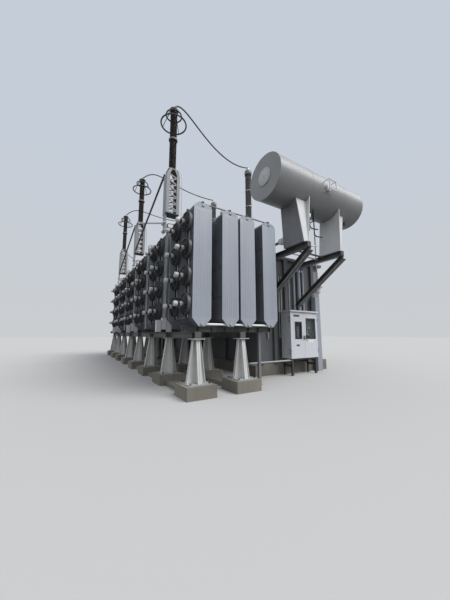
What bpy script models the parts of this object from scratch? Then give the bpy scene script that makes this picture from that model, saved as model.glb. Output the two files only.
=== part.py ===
"""Large power transformer with a separate bank of plate radiators and fans.

Metres, +Z up. The origin is the centre of the underside of the tank's plinth.
+X runs from the fan side across the radiators to the tank, and +Y runs along
the tank, away from the conservator and the control cabinet.
"""
import math

import bmesh
import bpy
from mathutils import Matrix, Vector

# Clearance between pieces that touch, and the share that keeps a branch slimmer than its main
SEAT_GAP = 0.0003
BRANCH_SHARE = 0.98

# Plinth and tank
TANK_LENGTH = 12.4
TANK_WIDTH = 3.4
TANK_HEIGHT = 4.00
PLINTH_LENGTH = TANK_LENGTH + 0.10
PLINTH_WIDTH = TANK_WIDTH + 0.40
PLINTH_HEIGHT = 0.40
TANK_RIB_WIDTH = 0.16
TANK_RIB_DEPTH = 0.10
TANK_RIB_SPREAD = 0.70
TANK_RIM = 0.12
TANK_RIM_THICKNESS = 0.06
COVER_THICKNESS = 0.06
RISER_X = 1.20
END_RIB_X = (TANK_RIB_WIDTH / 2 - TANK_WIDTH / 2, -0.96, -0.36, 0.72, RISER_X)
TANK_END_Y = -TANK_LENGTH / 2
TANK_BOTTOM = PLINTH_HEIGHT + SEAT_GAP
TANK_TOP = TANK_BOTTOM + TANK_HEIGHT
COVER_TOP = TANK_TOP + SEAT_GAP + COVER_THICKNESS

# Stand under the radiators
PIER_SIDE = 0.75
PIER_HEIGHT = 0.29
GROUND_BEAM_WIDTH = 0.40
GROUND_BEAM_HEIGHT = 0.12
PEDESTALS = 8
PEDESTAL_ROW_SPACING = 1.32
PEDESTAL_HEIGHT = 1.05
PEDESTAL_BASE = 0.48
PEDESTAL_TOP = 0.20
PEDESTAL_FIN = 0.05
PEDESTAL_PLATE = 0.025
PEDESTAL_PLATE_SIDE = 0.56
RAIL_WIDTH = 0.18
RAIL_HEIGHT = 0.16
BEAM_WIDTH = 0.14
BEAM_HEIGHT = 0.14
BEAM_OVERHANG = 0.20
RAIL_TOP = PIER_HEIGHT + SEAT_GAP + PEDESTAL_HEIGHT + RAIL_HEIGHT
BEAM_TOP = RAIL_TOP + SEAT_GAP + BEAM_HEIGHT

# Radiator bank
BAYS = 6
BAY_GAP = 0.53
BANK_FRONT = TANK_END_Y - 1.41
BANK_RIGHT = -TANK_WIDTH / 2 - 0.419
LAST_HEADER_INSET = 0.155
BAY_PITCH = (-TANK_END_Y - LAST_HEADER_INSET + BAY_GAP / 2 - BANK_FRONT) / BAYS
RADIATOR_DEPTH = BAY_PITCH - BAY_GAP
RADIATOR_GAPS = (0.325, 0.07, 0.30)
PANEL_WIDTH = 0.52
PANEL_HEIGHT = 3.20
PANEL_BOTTOM = BEAM_TOP + SEAT_GAP
PANEL_TOP = PANEL_BOTTOM + PANEL_HEIGHT
PANEL_CHAMFER = 0.10
TIP_WIDTH = 0.17
TIP_DROP = 0.20
PANEL_GROUPS = 4
GROUP_GAP = 0.07
HEADER_BAR = 0.10
HEADER_BAR_WIDTH = 0.12
TIE_ROD_RADIUS = 0.022
TIE_ROD_RISE = 0.012
TIE_ROD_INSET = 0.07
TIE_ROD_OVERHANG = 0.10
TIP_BAR_RADIUS = 0.032
TOP_HEADER_Z = PANEL_TOP - HEADER_BAR / 2
BOTTOM_HEADER_Z = PANEL_BOTTOM + HEADER_BAR / 2
OUTER_RADIATOR_X = BANK_RIGHT - 3.5 * PANEL_WIDTH - sum(RADIATOR_GAPS)
PLATE_EDGE_X = OUTER_RADIATOR_X - PANEL_WIDTH / 2
OUTER_PEDESTAL_X = PLATE_EDGE_X + 0.144
INNER_PEDESTAL_X = OUTER_PEDESTAL_X + PEDESTAL_ROW_SPACING
FIRST_PEDESTAL_Y = BANK_FRONT + 0.06

# Header frames between the bays
POST_SIDE = 0.20
POST_X = PLATE_EDGE_X + 0.074
POST_TOP = PANEL_TOP + 0.20
MANIFOLD_RADIUS = 0.10
FLANGE_RADIUS = 0.17
FLANGE_THICKNESS = 0.04
MANIFOLD_DROP_X = 0.40 - TANK_WIDTH / 2

# Fans
FAN_ROWS = 4
FAN_ROW_PITCH = 0.72
FIRST_FAN_Z = PANEL_BOTTOM + 0.55
FAN_INSET = 0.28
FAN_SPACING = 0.78
FAN_RADIUS = 0.28
FAN_GUARD_RADIUS = 0.21
FAN_RIM_DEPTH = 0.07
FAN_DEPTH = 0.13
FAN_RAIL_WIDTH = 0.07
FAN_RAIL_DEPTH = 0.04
FAN_MOTOR_RADIUS = 0.075
FAN_MOTOR_LENGTH = 0.345
FAN_TIE_HEIGHT = 0.06

# Terminal boxes at the feet of three header frames
BOX_WIDTH = 0.15
BOX_SPACING = 0.165
BOX_DEPTH = 0.10
BOX_HEIGHT = 0.42
BOX_STAGGER = 0.07
BOX_BACK = 0.015
BOX_DROP = 0.13
BOX_INSET = 0.005

# Surge arresters on their brackets, whose feet are clamped to the posts
ARRESTER_BAYS = (0, 2, 4)
BRACKET_WIDTH = 0.45
BRACKET_DEPTH = 0.34
BRACKET_HEIGHT = 1.60
BRACKET_BOTTOM = POST_TOP + 0.29
BRACKET_TOP = BRACKET_BOTTOM + BRACKET_HEIGHT
BRACKET_CHANNEL = 0.09
BRACKET_PLATE = 0.035
BRACKET_LACING = 5
LACING_WIDTH = 0.05
LACING_DEPTH = 0.16
BRACKET_FOOT_LENGTH = 0.65
BRACKET_FOOT_THICKNESS = 0.06
ARRESTER_UNITS = 2
ARRESTER_UNIT_HEIGHT = 1.10
ARRESTER_CORE = 0.090
ARRESTER_SHED = 0.125
SHED_COUNT = 2
ARRESTER_FLANGE = 0.155
ARRESTER_FLANGE_HEIGHT = 0.055
ARRESTER_STUD_RADIUS = 0.03
ARRESTER_STUD_HEIGHT = 0.09
ARRESTER_TOP = (BRACKET_TOP + SEAT_GAP + ARRESTER_UNITS * ARRESTER_UNIT_HEIGHT
                + (ARRESTER_UNITS + 1) * ARRESTER_FLANGE_HEIGHT)
LARGE_RING_RADIUS = 0.43
LARGE_RING_DROP = 0.56
SMALL_RING_RADIUS = 0.265
RING_TUBE = 0.022
RING_SPOKES = 4
BRACE_RADIUS = 0.04
BRACE_FOOT_Z = POST_TOP + 0.03

# Bushings on the cover
BUSHING_X = -0.30
FIRST_BUSHING_Y = -3.90
BUSHING_PITCH = 3.60
BUSHINGS = 3
TURRET_RADIUS = 0.42
TURRET_HEIGHT = 1.28
TURRET_FLANGE = 0.50
TURRET_FLANGE_HEIGHT = 0.05
BUSHING_RADIUS = 0.150
BUSHING_SECTIONS = 4
BUSHING_SECTION_HEIGHT = 0.90
BUSHING_JOINT_RADIUS = 0.172
BUSHING_JOINT_HEIGHT = 0.06
BUSHING_CAP_RADIUS = 0.185
BUSHING_CAP_HEIGHT = 0.34
TERMINAL_RADIUS = 0.03
TERMINAL_HEIGHT = 0.12
TURRET_TOP = COVER_TOP + SEAT_GAP + TURRET_HEIGHT
BUSHING_TOP = (TURRET_TOP + TURRET_FLANGE_HEIGHT + BUSHING_SECTIONS * BUSHING_SECTION_HEIGHT
               + BUSHING_CAP_HEIGHT + TERMINAL_HEIGHT)
NEUTRAL_X = -0.94
NEUTRAL_Y = -2.40
NEUTRAL_TURRET_RADIUS = 0.20
NEUTRAL_TURRET_HEIGHT = 1.50
NEUTRAL_RADIUS = 0.085
NEUTRAL_HEIGHT = 2.00

# Jumpers from the arresters to the bushings
JUMPER_RADIUS = 0.020
JUMPER_RISE = 0.06
JUMPER_SAGS = (0.55, 0.25, 0.25)
JUMPER_POINTS = 11

# Conservator and its stand
SUPPORT_X = (-1.384, 0.29)
SUPPORT_BEAM_DEPTH = 0.18
SUPPORT_BEAM_WIDTH = 0.16
SUPPORT_BEAM_TOP = TANK_TOP - 0.15
SUPPORT_BEAM_WEB = 0.02
SUPPORT_BEAM_FLANGE = 0.022
SUPPORT_REACH = 2.10
CONSERVATOR_RADIUS = 0.7535
CONSERVATOR_LEFT = -2.38
CONSERVATOR_RIGHT = 2.16
CONSERVATOR_RISE = 2.25
CONSERVATOR_Y = TANK_END_Y - 1.27
CONSERVATOR_Z = SUPPORT_BEAM_TOP + CONSERVATOR_RISE
CONSERVATOR_DISH = 0.16
CONSERVATOR_SIDES = 20
MANHOLE_RADIUS = 0.29
MANHOLE_THICKNESS = 0.035
STRUT_WIDTH = 0.20
STRUT_DEPTH = 0.16
STRUT_DROP = 1.45
WALL_PAD_WIDTH = 0.24
WALL_PAD_HEIGHT = 0.30
WALL_PAD_THICKNESS = 0.03
SADDLE_WEB = 0.03
SADDLE_FLANGE = 0.03
SADDLE_FOOT = 0.03
SADDLE_RISE = 0.80 * CONSERVATOR_RISE
SADDLE_FRONT_TOP_Y = CONSERVATOR_Y - 0.50
SADDLE_FRONT_FOOT_Y = CONSERVATOR_Y - 0.77
SADDLE_BACK_TOP_Y = CONSERVATOR_Y + 0.42
SADDLE_BACK_FOOT_Y = CONSERVATOR_Y + 0.13
SADDLE_FLANGE_TOPS = ((-0.03, 0.65), (-0.05, 0.60))
SADDLE_FLANGE_FEET = ((-0.14, 0.18), (-0.07, 0.07))

# Gauge guard, pipe and breather of the conservator
GUARD_X = -0.18
GUARD_WIDTH = 0.36
GUARD_DEPTH = 0.20
GUARD_HEIGHT = 0.34
GUARD_BAR = 0.03
GUARD_DROP = 0.06
PIPE_RADIUS = 0.055
PIPE_X = -0.55
PIPE_Z = COVER_TOP + 0.59
PIPE_BACK_Y = TANK_END_Y + 0.90
RELAY_LENGTH = 0.36
RELAY_SIDE = 0.24
BREATHER_X = 0.75
BREATHER_Y = CONSERVATOR_Y + 0.59
BREATHER_HOOD_RADIUS = 0.20
BREATHER_BODY_RADIUS = 0.12
BREATHER_TOP = SUPPORT_BEAM_TOP - 0.79
BREATHER_HEIGHT = 0.44
BREATHER_PIPE_RADIUS = 0.022

# Cable riser beside the cabinet
RISER_WIDTH = 0.27
RISER_DEPTH = 0.20
RISER_TOP = 2.95

# Control cabinet
CABINET_LEFT = -0.72
CABINET_WIDTH = 1.434
CABINET_HEIGHT = 1.67
CABINET_BOTTOM = 0.59
CABINET_FRONT = TANK_END_Y - 0.60
CABINET_DEPTH = 0.43
CABINET_WALL = 0.02
CABINET_ROOF = 0.06
CABINET_ROOF_LIP = 0.05
CABINET_TOP = CABINET_BOTTOM + CABINET_HEIGHT
CABINET_RIGHT = CABINET_LEFT + CABINET_WIDTH
CABINET_MIDDLE = CABINET_LEFT + CABINET_WIDTH / 2
LEG_SIDE = 0.07
LEG_INSET = 0.06
STAND_RAIL_HEIGHT = 0.08
STAND_RAIL_Z = 0.30
DOOR_THICKNESS = 0.035
DOOR_CLEARANCE = 0.006
DOOR_BACK_Y = CABINET_FRONT + DOOR_THICKNESS
CABINET_BODY_FRONT = DOOR_BACK_Y + DOOR_CLEARANCE
DOOR_TOP = CABINET_TOP - CABINET_WALL - DOOR_CLEARANCE
LEFT_WINDOW = (0.23, 0.55)
LEFT_WINDOW_HEIGHT = 0.58
LEFT_WINDOW_DROP = 0.36
RIGHT_WINDOW = (0.10, 0.58)
RIGHT_WINDOW_HEIGHT = 0.72
RIGHT_WINDOW_DROP = 0.22
GLASS_THICKNESS = 0.006
GLASS_REBATE = 0.012
HANDLE_LENGTH = 0.14
HANDLE_WIDTH = 0.028
HANDLE_REACH = 0.035
HANDLE_INSET = 0.055
HANDLE_Z = 0.66
HINGE_RADIUS = 0.012
HINGE_OFFSET = 0.016
HINGE_HEIGHT = 0.10
HINGE_EAR = 0.04
HINGE_SHARES = (0.15, 0.85)
HINGE_STRAP = 0.05
INNER_PANEL_DEPTH = 0.14
INNER_PANEL_THICKNESS = 0.02
INNER_PANEL_MARGIN = 0.03
INNER_PANEL_RAIL = 0.04

# Front frame beside the cabinet
FRONT_BEAM_Y = BANK_FRONT + 0.31
FRONT_LEG_X = BANK_RIGHT - 0.481
FRONT_LEG_SIDE = 0.08
FRONT_BAR_RADIUS = 0.03

for old in list(bpy.data.objects):
    bpy.data.objects.remove(old, do_unlink=True)

PARTS = bpy.data.collections.new("power_transformer")
bpy.context.scene.collection.children.link(PARTS)


def paint(name, colour, roughness, metallic=0.0):
    """A plain finish for one kind of surface."""
    finish = bpy.data.materials.new(name)
    finish.use_nodes = True
    shader = finish.node_tree.nodes["Principled BSDF"]
    shader.inputs["Base Color"].default_value = (*colour, 1.0)
    shader.inputs["Roughness"].default_value = roughness
    shader.inputs["Metallic"].default_value = metallic
    return finish


PALE_PAINT = paint("pale_paint", (0.43, 0.46, 0.51), 0.45)
CABINET_PAINT = paint("cabinet_paint", (0.68, 0.69, 0.71), 0.40)
DARK_STEEL = paint("dark_steel", (0.10, 0.10, 0.10), 0.60, 0.3)
FAN_PAINT = paint("fan_paint", (0.14, 0.15, 0.15), 0.55, 0.2)
GALVANISED = paint("galvanised", (0.42, 0.43, 0.44), 0.50, 0.5)
CONCRETE = paint("concrete", (0.42, 0.39, 0.32), 0.90)
BROWN_GLAZE = paint("brown_glaze", (0.07, 0.06, 0.055), 0.30)
GREY_GLAZE = paint("grey_glaze", (0.22, 0.22, 0.22), 0.35)
CONDUCTOR = paint("conductor", (0.20, 0.20, 0.20), 0.50, 0.6)
PANEL_GREEN = paint("panel_green", (0.35, 0.40, 0.38), 0.50)
GLASS = paint("window_glass", (0.05, 0.06, 0.06), 0.10)


def scratch(shape):
    """Turn a bmesh into a loose piece that fuse or cut will take up."""
    mesh = bpy.data.meshes.new("piece")
    shape.to_mesh(mesh)
    shape.free()
    piece = bpy.data.objects.new("piece", mesh)
    PARTS.objects.link(piece)
    return piece


def block(corner, opposite):
    """A box between two opposite corners."""
    corner, opposite = Vector(corner), Vector(opposite)
    spans = [abs(span) for span in opposite - corner]
    shape = bmesh.new()
    place = Matrix.Translation((corner + opposite) / 2) @ Matrix.Diagonal((*spans, 1.0))
    bmesh.ops.create_cube(shape, size=1.0, matrix=place)
    return scratch(shape)


def rod(start, end, radius, sides=6):
    """A straight bar between two points, whose flats lie at the radius."""
    start, end = Vector(start), Vector(end)
    run = end - start
    turn = run.to_track_quat("Z", "Y").to_matrix().to_4x4()
    place = Matrix.Translation((start + end) / 2) @ turn @ Matrix.Rotation(math.pi / sides, 4, "Z")
    corner = radius / math.cos(math.pi / sides)
    shape = bmesh.new()
    bmesh.ops.create_cone(shape, cap_ends=True, segments=sides, radius1=corner,
                          radius2=corner, depth=run.length, matrix=place)
    return scratch(shape)


def evaluated_mesh(piece):
    """The mesh that a piece shows once its modifiers are worked out."""
    bpy.context.view_layer.update()
    graph = bpy.context.evaluated_depsgraph_get()
    mesh = bpy.data.meshes.new_from_object(piece.evaluated_get(graph))
    shape = bmesh.new()
    shape.from_mesh(mesh)
    bmesh.ops.remove_doubles(shape, verts=shape.verts, dist=0.00001)
    bmesh.ops.dissolve_limit(shape, angle_limit=0.0005, verts=shape.verts, edges=shape.edges)
    shape.to_mesh(mesh)
    shape.free()
    return mesh


def plate(outline, thickness, centre, across, up):
    """A flat outline with its thickness, its x along across and its y along up."""
    curve = bpy.data.curves.new("outline", "CURVE")
    curve.dimensions = "2D"
    curve.fill_mode = "BOTH"
    curve.extrude = thickness / 2
    spline = curve.splines.new("POLY")
    spline.points.add(len(outline) - 1)
    for point, (x, y) in zip(spline.points, outline):
        point.co = (x, y, 0.0, 1.0)
    spline.use_cyclic_u = True
    holder = bpy.data.objects.new("outline", curve)
    PARTS.objects.link(holder)
    mesh = evaluated_mesh(holder)
    bpy.data.objects.remove(holder, do_unlink=True)
    across, up = Vector(across).normalized(), Vector(up).normalized()
    turn = Matrix((across, up, across.cross(up))).transposed().to_4x4()
    mesh.transform(Matrix.Translation(centre) @ turn)
    piece = bpy.data.objects.new("piece", mesh)
    PARTS.objects.link(piece)
    return piece


def turned(profile, sides, foot=(0, 0, 0), axis=(0, 0, 1)):
    """A profile of (radius, height) points, top to bottom, turned about an axis."""
    shape = bmesh.new()
    corners = [shape.verts.new((radius, 0.0, height)) for radius, height in profile]
    for first, second in zip(corners, corners[1:]):
        shape.edges.new((first, second))
    piece = scratch(shape)
    screw = piece.modifiers.new("turn", "SCREW")
    screw.steps = sides
    screw.render_steps = sides
    screw.use_merge_vertices = True
    screw.merge_threshold = 0.00001
    mesh = evaluated_mesh(piece)
    turn = Vector(axis).to_track_quat("Z", "Y").to_matrix().to_4x4()
    mesh.transform(Matrix.Translation(foot) @ turn)
    piece.modifiers.clear()
    piece.data = mesh
    return piece


def torus(centre, radius, tube, around, section):
    """A level ring of round tube."""
    bpy.ops.mesh.primitive_torus_add(location=centre, major_radius=radius, minor_radius=tube,
                                     major_segments=around, minor_segments=section)
    piece = bpy.context.active_object
    piece.data.transform(piece.matrix_world)
    piece.matrix_world = Matrix.Identity(4)
    return piece


def combined(base, others, operation):
    """The base with the others fused to it or cut from it."""
    group = bpy.data.collections.new("operands")
    for piece in others:
        group.objects.link(piece)
    boolean = base.modifiers.new(operation.lower(), "BOOLEAN")
    boolean.operation = operation
    boolean.solver = "EXACT"
    boolean.operand_type = "COLLECTION"
    boolean.collection = group
    mesh = evaluated_mesh(base)
    for piece in [base, *others]:
        bpy.data.objects.remove(piece, do_unlink=True)
    bpy.data.collections.remove(group)
    result = bpy.data.objects.new("piece", mesh)
    PARTS.objects.link(result)
    return result


def fuse(pieces):
    """One closed body from pieces that overlap."""
    return combined(pieces[0], pieces[1:], "UNION") if len(pieces) > 1 else pieces[0]


def cut(base, cutters):
    """The base less its cutters."""
    return combined(base, cutters, "DIFFERENCE")


def moved_copy(piece, offset):
    """A loose copy of a piece, shifted by an offset."""
    mesh = piece.data.copy()
    mesh.transform(Matrix.Translation(offset))
    copy = bpy.data.objects.new("piece", mesh)
    PARTS.objects.link(copy)
    return copy


def finished(name, piece, finish, smooth=False):
    """Name a piece as a sub-part and give it its finish."""
    piece.name = name
    piece.data.name = name
    piece.data.materials.clear()
    piece.data.materials.append(finish)
    if smooth:
        piece.data.shade_smooth()
        piece.data.set_sharp_from_angle(angle=math.radians(40))
    return piece


def placed_copies(name, first, offsets):
    """Objects that share the first one's mesh, one for each offset after it."""
    first.name = f"{name}_1"
    for number, offset in enumerate(offsets, start=2):
        copy = bpy.data.objects.new(f"{name}_{number}", first.data)
        copy.location = first.location + Vector(offset)
        PARTS.objects.link(copy)


def bay_front(bay):
    return BANK_FRONT + bay * BAY_PITCH


def bay_centre(bay):
    return bay_front(bay) + RADIATOR_DEPTH / 2


def header_y(bay):
    """The middle of the gap behind a bay, where its header frame stands."""
    return bay_front(bay) + RADIATOR_DEPTH + BAY_GAP / 2


def radiator_xs():
    """Centres of the radiators across the bank."""
    places = [OUTER_RADIATOR_X]
    for gap in RADIATOR_GAPS:
        places.append(places[-1] + PANEL_WIDTH + gap)
    return places


def pedestal_ys():
    """Even steps from the first pedestal to the one under the last header frame."""
    pitch = (header_y(BAYS - 1) - FIRST_PEDESTAL_Y) / (PEDESTALS - 1)
    return [FIRST_PEDESTAL_Y + number * pitch for number in range(PEDESTALS)]


def bushing_ys():
    return [FIRST_BUSHING_Y + number * BUSHING_PITCH for number in range(BUSHINGS)]


def build_plinth():
    half_width, half_length = PLINTH_WIDTH / 2, PLINTH_LENGTH / 2
    slab = block((-half_width, -half_length, 0), (half_width, half_length, PLINTH_HEIGHT))
    finished("tank_plinth", slab, CONCRETE)


def side_rib_ys():
    """Two ribs at each bay's middle, kept where the tank's side wall is."""
    limit = TANK_LENGTH / 2 - TANK_RIB_WIDTH
    pairs = [bay_centre(bay) + side * TANK_RIB_SPREAD / 2 for bay in range(BAYS) for side in (-1, 1)]
    return [y for y in pairs if abs(y) < limit]


def build_tank():
    half_width, half_length = TANK_WIDTH / 2, TANK_LENGTH / 2
    rib_low, rib_high = TANK_BOTTOM, TANK_TOP - TANK_RIM_THICKNESS / 2
    pieces = [block((-half_width, -half_length, TANK_BOTTOM), (half_width, half_length, TANK_TOP)),
              block((-half_width - TANK_RIM, -half_length - TANK_RIM, TANK_TOP - TANK_RIM_THICKNESS),
                    (half_width + TANK_RIM, half_length + TANK_RIM, TANK_TOP))]
    for y in side_rib_ys():
        pieces.append(block((-half_width - TANK_RIB_DEPTH, y - TANK_RIB_WIDTH / 2, rib_low),
                            (half_width + TANK_RIB_DEPTH, y + TANK_RIB_WIDTH / 2, rib_high)))
    for x in END_RIB_X:
        pieces.append(block((x - TANK_RIB_WIDTH / 2, -half_length - TANK_RIB_DEPTH, rib_low),
                            (x + TANK_RIB_WIDTH / 2, half_length + TANK_RIB_DEPTH, rib_high)))
    finished("tank", fuse(pieces), PALE_PAINT)


def build_cover():
    reach_x, reach_y = TANK_WIDTH / 2 + TANK_RIM, TANK_LENGTH / 2 + TANK_RIM
    lid = block((-reach_x, -reach_y, TANK_TOP + SEAT_GAP), (reach_x, reach_y, COVER_TOP))
    finished("tank_cover", lid, PALE_PAINT)


def build_piers(name, x):
    ys = pedestal_ys()
    half = PIER_SIDE / 2
    pieces = [block((x - GROUND_BEAM_WIDTH / 2, ys[0], 0),
                    (x + GROUND_BEAM_WIDTH / 2, ys[-1], GROUND_BEAM_HEIGHT))]
    pieces += [block((x - half, y - half, 0), (x + half, y + half, PIER_HEIGHT)) for y in ys]
    finished(name, fuse(pieces), CONCRETE)


def pedestal(x, y):
    """A tapered cross of two fins on a base plate."""
    foot = PIER_HEIGHT + SEAT_GAP
    half = PEDESTAL_PLATE_SIDE / 2
    outline = [(-PEDESTAL_BASE / 2, 0), (PEDESTAL_BASE / 2, 0),
               (PEDESTAL_TOP / 2, PEDESTAL_HEIGHT), (-PEDESTAL_TOP / 2, PEDESTAL_HEIGHT)]
    return [block((x - half, y - half, foot), (x + half, y + half, foot + PEDESTAL_PLATE)),
            plate(outline, PEDESTAL_FIN, (x, y, foot), (1, 0, 0), (0, 0, 1)),
            plate(outline, PEDESTAL_FIN, (x, y, foot), (0, 1, 0), (0, 0, 1))]


def build_pedestals(name, x):
    ys = pedestal_ys()
    rail_bottom = RAIL_TOP - RAIL_HEIGHT
    half_end = PEDESTAL_TOP / 2
    pieces = [block((x - RAIL_WIDTH / 2, ys[0] - half_end, rail_bottom),
                    (x + RAIL_WIDTH / 2, ys[-1] + half_end, RAIL_TOP))]
    for y in ys:
        pieces += pedestal(x, y)
    finished(name, fuse(pieces), GALVANISED)


def cross_beam(y, right):
    left = OUTER_PEDESTAL_X - RAIL_WIDTH / 2 - BEAM_OVERHANG
    return block((left, y - BEAM_WIDTH / 2, RAIL_TOP + SEAT_GAP), (right, y + BEAM_WIDTH / 2, BEAM_TOP))


def build_header_frames():
    """Post, cross beam and two manifold pipes in the gap behind each bay."""
    y = header_y(0)
    wall = -TANK_WIDTH / 2 - SEAT_GAP
    half = POST_SIDE / 2
    cover_seat = COVER_TOP + SEAT_GAP
    pieces = [cross_beam(y, wall),
              block((POST_X - half, y - half, BEAM_TOP - BEAM_HEIGHT / 2),
                    (POST_X + half, y + half, POST_TOP)),
              rod((POST_X, y, BOTTOM_HEADER_Z), (wall, y, BOTTOM_HEADER_Z), MANIFOLD_RADIUS, 8),
              rod((wall - FLANGE_THICKNESS, y, BOTTOM_HEADER_Z), (wall, y, BOTTOM_HEADER_Z), FLANGE_RADIUS),
              rod((POST_X, y, TOP_HEADER_Z), (MANIFOLD_DROP_X + MANIFOLD_RADIUS, y, TOP_HEADER_Z),
                  MANIFOLD_RADIUS, 8),
              rod((MANIFOLD_DROP_X, y, cover_seat), (MANIFOLD_DROP_X, y, TOP_HEADER_Z),
                  MANIFOLD_RADIUS * BRANCH_SHARE, 8),
              rod((MANIFOLD_DROP_X, y, cover_seat), (MANIFOLD_DROP_X, y, cover_seat + FLANGE_THICKNESS),
                  FLANGE_RADIUS)]
    frame = finished("header_frame_1", fuse(pieces), GALVANISED)
    placed_copies("header_frame", frame, [(0, bay * BAY_PITCH, 0) for bay in range(1, BAYS)])


def panel_outline():
    """One radiator plate seen from its front, from the tip upward."""
    half, tip = PANEL_WIDTH / 2, TIP_WIDTH / 2
    shoulder = PANEL_HEIGHT - PANEL_CHAMFER
    return [(-tip, 0), (tip, 0), (half, TIP_DROP), (half, shoulder), (half - PANEL_CHAMFER, PANEL_HEIGHT),
            (PANEL_CHAMFER - half, PANEL_HEIGHT), (-half, shoulder), (-half, TIP_DROP)]


def radiator(x):
    """Groups of plates between a top and a bottom header bar."""
    front = bay_front(0)
    group = (RADIATOR_DEPTH - (PANEL_GROUPS - 1) * GROUP_GAP) / PANEL_GROUPS
    header_end = header_y(0) - MANIFOLD_RADIUS - SEAT_GAP
    half = HEADER_BAR_WIDTH / 2
    pieces = [block((x - half, front, low), (x + half, header_end, low + HEADER_BAR))
              for low in (PANEL_BOTTOM, PANEL_TOP - HEADER_BAR)]
    for number in range(PANEL_GROUPS):
        middle = front + group / 2 + number * (group + GROUP_GAP)
        pieces.append(plate(panel_outline(), group, (x, middle, PANEL_BOTTOM), (1, 0, 0), (0, 0, 1)))
    return fuse(pieces)


def build_radiator_banks():
    xs = radiator_xs()
    first = radiator(xs[0])
    radiators = [first] + [moved_copy(first, (x - xs[0], 0, 0)) for x in xs[1:]]
    rod_y = BANK_FRONT + TIE_ROD_INSET
    rod_z = PANEL_TOP + TIE_ROD_RISE
    tie = rod((xs[0] - TIE_ROD_OVERHANG, rod_y, rod_z), (xs[-1] + TIE_ROD_OVERHANG, rod_y, rod_z),
              TIE_ROD_RADIUS, 4)
    tip_bar = rod((xs[0], rod_y, BOTTOM_HEADER_Z), (xs[-1], rod_y, BOTTOM_HEADER_Z), TIP_BAR_RADIUS, 4)
    bank = finished("radiator_bank_1", fuse(radiators + [tie, tip_bar]), PALE_PAINT)
    placed_copies("radiator_bank", bank, [(0, bay * BAY_PITCH, 0) for bay in range(1, BAYS)])


def fan(y, z):
    """A round housing with a sloping guard in front, and the motor on the guard."""
    rail_front = PLATE_EDGE_X - SEAT_GAP - FAN_RAIL_DEPTH
    profile = [(0, FAN_DEPTH), (FAN_GUARD_RADIUS, FAN_DEPTH), (FAN_RADIUS, FAN_RIM_DEPTH), (FAN_RADIUS, 0),
               (0, 0)]
    return [turned(profile, 8, (rail_front, y, z), (-1, 0, 0)),
            rod((rail_front - FAN_MOTOR_LENGTH, y, z), (rail_front - FAN_RIM_DEPTH, y, z), FAN_MOTOR_RADIUS)]


def build_fan_banks():
    back = PLATE_EDGE_X - SEAT_GAP
    columns = (bay_front(0) + FAN_INSET, bay_front(0) + FAN_INSET + FAN_SPACING)
    low = FIRST_FAN_Z - FAN_ROW_PITCH / 2
    high = low + FAN_ROWS * FAN_ROW_PITCH
    pieces = []
    for y in columns:
        pieces.append(block((back - FAN_RAIL_DEPTH, y - FAN_RAIL_WIDTH / 2, low),
                            (back, y + FAN_RAIL_WIDTH / 2, high)))
        for row in range(FAN_ROWS):
            pieces += fan(y, FIRST_FAN_Z + row * FAN_ROW_PITCH)
    for bottom in (low, high - FAN_TIE_HEIGHT):
        pieces.append(block((back - FAN_RAIL_DEPTH / 2, columns[0], bottom),
                            (back, columns[1], bottom + FAN_TIE_HEIGHT)))
    bank = finished("fan_bank_1", fuse(pieces), FAN_PAINT)
    placed_copies("fan_bank", bank, [(0, bay * BAY_PITCH, 0) for bay in range(1, BAYS)])


def build_terminal_boxes():
    """Three small boxes on a back plate at the foot of a header post."""
    post_face = header_y(0) - POST_SIDE / 2 - SEAT_GAP
    bottom = BEAM_TOP - BOX_DROP
    right = POST_X + POST_SIDE / 2 - BOX_INSET
    left = right - 3 * BOX_SPACING
    pieces = [block((left, post_face - BOX_BACK, bottom + BOX_STAGGER),
                    (right, post_face, bottom + BOX_HEIGHT - BOX_STAGGER))]
    for number in range(3):
        box_left = left + number * BOX_SPACING + (BOX_SPACING - BOX_WIDTH) / 2
        shift = BOX_STAGGER if number == 1 else 0.0
        low = bottom + shift
        pieces.append(block((box_left, post_face - BOX_DEPTH, low),
                            (box_left + BOX_WIDTH, post_face - BOX_BACK / 2, low + BOX_HEIGHT - BOX_STAGGER)))
    cluster = finished("terminal_boxes_1", fuse(pieces), CABINET_PAINT)
    placed_copies("terminal_boxes", cluster, [(0, bay * BAY_PITCH, 0) for bay in ARRESTER_BAYS[1:]])


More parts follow.
